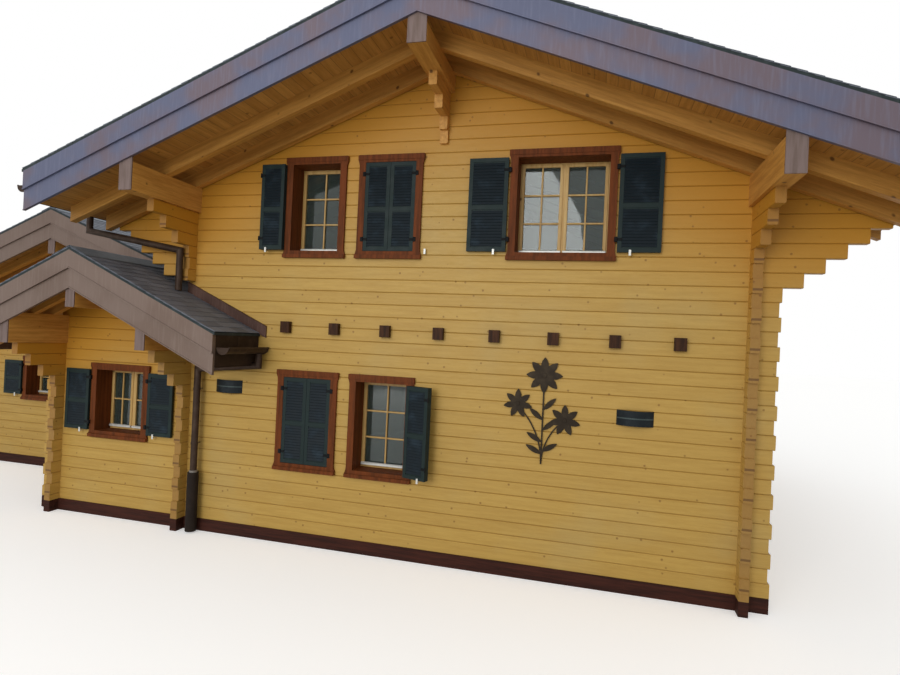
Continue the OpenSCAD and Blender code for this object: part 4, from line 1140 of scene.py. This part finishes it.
def gutter_bracket(inward):
    """A strap bent round a gutter's underside, with its tail up the roof edge."""
    strap = drum(GUTTER_R + SHY, BRACKET_W, (0, 0, 0), "Y", 24, "NOTHING")
    cut_off(strap, (0, 0, BRACKET_T), (0, 0, 1))
    thicken(strap, BRACKET_T)
    edge = inward * (GUTTER_R + SHY + BRACKET_T / 2)
    low = (edge - BRACKET_T / 2, -BRACKET_W / 2, 0.0)
    high = (edge + BRACKET_T / 2, BRACKET_W / 2, TAIL_H)
    return join([strap, ease(block(low, high), HAIR)])


def bracket_places(inward):
    """Evenly spaced places along the gutters whose roof edge lies on that side."""
    places = []
    for x, side, z, y0, y1 in GUTTERS:
        if side != inward:
            count = round((y1 - y0) / BRACKET_GAP)
            step = (y1 - y0) / count
            places += [Matrix.Translation((x, y0 + step * (i + 0.5), z)) for i in range(count)]
    return places


def gutter_brackets():
    brackets = [twin for side in (-1, 1) for twin in spread(gutter_bracket(side), bracket_places(side))]
    settle(brackets, "gutter_brackets", gutter_sheet)


# Upright pipes: middle of the bay's and of both rear ones, length of the clips' pins, heights of the clips.
# The bay's stands in a wider cast pipe, with a collar between them.
BAY_PIPE = (-3.33, -0.115)
REAR_PIPES = ((MAIN_HALF + 0.065, MAIN_DEPTH + 0.07), (WING_LEFT - 0.065, WING_REAR + 0.07))
BAY_REACH = 0.068
REAR_REACH = 0.023
BAY_CLIPS = (1.05, 1.8)
REAR_CLIPS = (0.4, 1.36)
CLIP_H = 0.03
CLIP_T = 0.004
CLIP_PIN_R = 0.007
BOOT_R = 0.074
BOOT_TOP = 0.66
BOOT_FOOT = -0.145
BOOT_RIM = 0.012
BOOT_BORE = 0.004
BOOT_DEEP = 0.02
COLLAR_GAP = 0.002
COLLAR_T = 0.008
COLLAR_UP = 0.012


def pipe_clip(reach):
    """A ring round a pipe with a pin back to the wall."""
    ring = drum(PIPE_R + SHY, CLIP_H, (0, 0, 0), "Z", 24, "NOTHING")
    thicken(ring, CLIP_T)
    pin = drum(CLIP_PIN_R, reach, (0, PIPE_R + reach / 2, 0), "Y", 10)
    return join([ring, ease(pin, FINE)])


def pipe_fittings():
    """Clips on the upright pipes, and the wider cast pipe that the bay's pipe runs into near the ground."""
    turned = Matrix.Rotation(math.pi, 4, "Z")
    bay = [Matrix.Translation((*BAY_PIPE, z)) for z in BAY_CLIPS]
    rear = [Matrix.Translation((*pipe, z)) @ turned for pipe in REAR_PIPES for z in REAR_CLIPS]
    clips = spread(pipe_clip(BAY_REACH), bay) + spread(pipe_clip(REAR_REACH), rear)
    settle(clips, "pipe_clips", gutter_sheet)
    boot = drum(BOOT_R, BOOT_TOP - BOOT_FOOT, (*BAY_PIPE, (BOOT_TOP + BOOT_FOOT) / 2), "Z", 32)
    pick(boot, "FACE", lambda face: face.normal.z > FACING)
    bpy.ops.mesh.inset(thickness=BOOT_RIM, depth=0)
    bpy.ops.mesh.inset(thickness=BOOT_BORE, depth=-BOOT_DEEP)
    leave_edit()
    settle([ease(boot, SOFT)], "cast_pipe", cast_iron)
    collar = drum(PIPE_R + COLLAR_GAP, CLIP_H, (*BAY_PIPE, BOOT_TOP + COLLAR_UP), "Z", 32, "NOTHING")
    thicken(collar, COLLAR_T)
    settle([ease(collar, FINE)], "pipe_collar", collar_sheet)


# Wall fittings

# Lamps: x and z of the shade's foot, its radius, reach and height, and the band's gap, height and thickness.
LAMPS = ((-2.905, 1.77), (2.405, 1.75))
SHADE_R = 0.3
SHADE_OUT = 0.08
SHADE_H = 0.175
BAND_GAP = 0.0005
BAND_H = 0.014
BAND_T = 0.002
BAND_END = -0.006
# Behind a shade, from its foot: half width, reach, lower and upper edge of the wall plate and the holders.
LAMP_PLATE = (0.05, 0.022, 0.04, 0.14)
LAMP_HOLDER = (0.012, 0.052, 0.08, 0.1)
HOLDER_OFF = 0.12
LAMP_EASE = 0.006
TUBE_R = 0.012
TUBE_L = 0.22
TUBE_OUT = 0.034
TUBE_UP = 0.09
# Rivets of the flower spray: x, z and radius. Then their thickness and y, and the pins' radius, length and y.
RIVETS = ((1.365, 2.265, 0.03), (1.065, 1.915, 0.025), (1.62, 1.75, 0.026), (1.365, 1.26, 0.012))
RIVET_T, RIVET_Y = 0.007, -0.0235
STUD_R, STUD_L, STUD_Y = 0.006, 0.016, -0.008
# Door handle: its place on the rear wall, and from there the plate, the neck and the lever.
HANDLE = (0.4, FRAME_Y, 1.02)
HANDLE_PLATE = ((-0.02, -0.006, -0.11), (0.02, 0.0, 0.11))
HANDLE_NECK = (0.009, 0.05, (0, -0.025, 0.03))
HANDLE_LEVER = ((-0.12, -0.058, 0.021), (0.011, -0.044, 0.039))
LEVER_EASE = 0.005


def light_bands():
    """A raised band of brighter steel round the middle of each bent shade."""
    bands = []
    for x, z in LAMPS:
        centre = (x, SHADE_R - SHADE_OUT, z + SHADE_H / 2)
        band = drum(SHADE_R + BAND_GAP, BAND_H, centre, "Z", 120, "NOTHING")
        thicken(band, BAND_T)
        bands.append(cut_off(band, (0, BAND_END, 0), (0, 1, 0)))
    settle(bands, "light_bands", band_steel)


def lamp_block(x, z, half, out, low, high):
    """A block on the wall behind a shade."""
    return block((x - half, -out, z + low), (x + half, -SHY, z + high))


def light_fittings():
    """A wall plate and a lamp tube with two holders behind each bent shade."""
    parts = []
    for x, z in LAMPS:
        parts.append(ease(lamp_block(x, z, *LAMP_PLATE), LAMP_EASE, 2))
        parts.append(ease(drum(TUBE_R, TUBE_L, (x, -TUBE_OUT, z + TUBE_UP), "X", 16), SOFT))
        for mid in (x - HOLDER_OFF, x + HOLDER_OFF):
            parts.append(ease(lamp_block(mid, z, *LAMP_HOLDER), FINE))
    settle(parts, "light_fittings", dark_steel)


def ornament_rivets():
    """Round rivets in each bloom and at the foot, and the pins that hold the sheet off the wall."""
    parts = []
    for x, z, radius in RIVETS:
        parts.append(ease(drum(radius, RIVET_T, (x, RIVET_Y, z), "Y", 20), SOFT, 2))
        parts.append(ease(drum(STUD_R, STUD_L, (x, STUD_Y, z), "Y", 10), HAIR))
    settle(parts, "ornament_rivets", forged_bronze)


def door_fittings():
    """A lever handle on its plate, on the rear door."""
    plate = ease(block(*HANDLE_PLATE), FINE)
    neck = ease(drum(*HANDLE_NECK, "Y", 12), FINE)
    lever = ease(block(*HANDLE_LEVER), LEVER_EASE, 2)
    place = place_on(REAR, 0.0) @ Matrix.Translation(HANDLE)
    settle(put([plate, neck, lever], place), "door_handle", dark_steel)


# Camera, floor and light

FOCAL_PX = 572.67
WIDTH_PX = 900
SENSOR = 36.0
CAMERA_TURN = (14.475, 0.127, 2.672)
CAMERA_PLACE = Vector((1.9566, -6.8624, 2.6459))
WORLD_LIGHT = 0.68
FLOOR_GLOW = 0.35
WHITE = (1, 1, 1, 1)


def camera():
    """The photograph's viewpoint, found from its wall, roof and joist lines."""
    data = bpy.data.cameras.new("view")
    data.sensor_width = SENSOR
    data.lens = SENSOR * FOCAL_PX / WIDTH_PX
    data.clip_end = 400
    obj = bpy.data.objects.new("view", data)
    bpy.context.collection.objects.link(obj)
    yaw, pitch, roll = (math.radians(a) for a in CAMERA_TURN)
    right = Vector((math.cos(yaw), math.sin(yaw), 0))
    ahead = Vector((-math.sin(yaw) * math.cos(pitch), math.cos(yaw) * math.cos(pitch), math.sin(pitch)))
    up = right.cross(ahead)
    side = math.cos(roll) * right + math.sin(roll) * up
    top = math.cos(roll) * up - math.sin(roll) * right
    turned = Matrix((side, top, -ahead)).transposed().to_4x4()
    obj.matrix_world = Matrix.Translation(CAMERA_PLACE + HOUSE) @ turned
    bpy.context.scene.camera = obj


def shown_rays(tree):
    """1 for rays from the camera and for those that metal mirrors or glass lets through."""
    seen, mirrored, through = (
        add(tree, "LightPath", {}, out) for out in ("Is Camera Ray", "Is Glossy Ray", "Is Transmission Ray"))
    first = add(tree, "Math", {0: seen, 1: mirrored}, operation="MAXIMUM")
    return add(tree, "Math", {0: first, 1: through}, operation="MAXIMUM")


def floor():
    """A floor that is nearly white where it is seen or mirrored and keeps the house's shadow."""
    bpy.ops.mesh.primitive_plane_add(size=160, location=(0, 0, 0))
    obj = bpy.context.object
    obj.name = "floor"
    mat, tree, shader = new_material("pale_floor")
    shown = shown_rays(tree)
    colour = laid_over(tree, linear("#a9a9a6"), "#f4f4f2", shown)
    glow = add(tree, "Math", {0: shown, 1: FLOOR_GLOW}, operation="MULTIPLY")
    fill(tree, shader, {"Base Color": colour, "Roughness": 0.9, "Emission Strength": glow,
                        "Emission Color": WHITE})
    obj.data.materials.append(mat)


def area_light(name, place, aim, size, power):
    data = bpy.data.lights.new(name, "AREA")
    data.shape = "DISK"
    data.size = size
    data.energy = power
    obj = bpy.data.objects.new(name, data)
    bpy.context.collection.objects.link(obj)
    obj.location = place
    obj.rotation_euler = (Vector(aim) - Vector(place)).to_track_quat("-Z", "Y").to_euler()


def lighting():
    """An even bright sky, white where it is seen or mirrored, and one soft lamp from the front left."""
    bpy.context.scene.view_settings.view_transform = "Standard"
    world = bpy.data.worlds.new("studio")
    bpy.context.scene.world = world
    world.use_nodes = True
    tree = world.node_tree
    strength = add(tree, "Math", {0: shown_rays(tree), 1: 1.0 - WORLD_LIGHT, 2: WORLD_LIGHT},
                   operation="MULTIPLY_ADD")
    fill(tree, tree.nodes["Background"], {"Color": WHITE, "Strength": strength})
    area_light("sky_lamp", place=(-2, -25, 7), aim=(0, 0, 3), size=12, power=1700)


camera()
floor()
lighting()
finish_cad()
windows()
casing_ears()
shutter_slats()
shutter_hardware()
roofs()
roof_edges()
flashing_bead()
gutter_edges()
gutter_brackets()
pipe_fittings()
light_bands()
light_fittings()
ornament_rivets()
door_fittings()
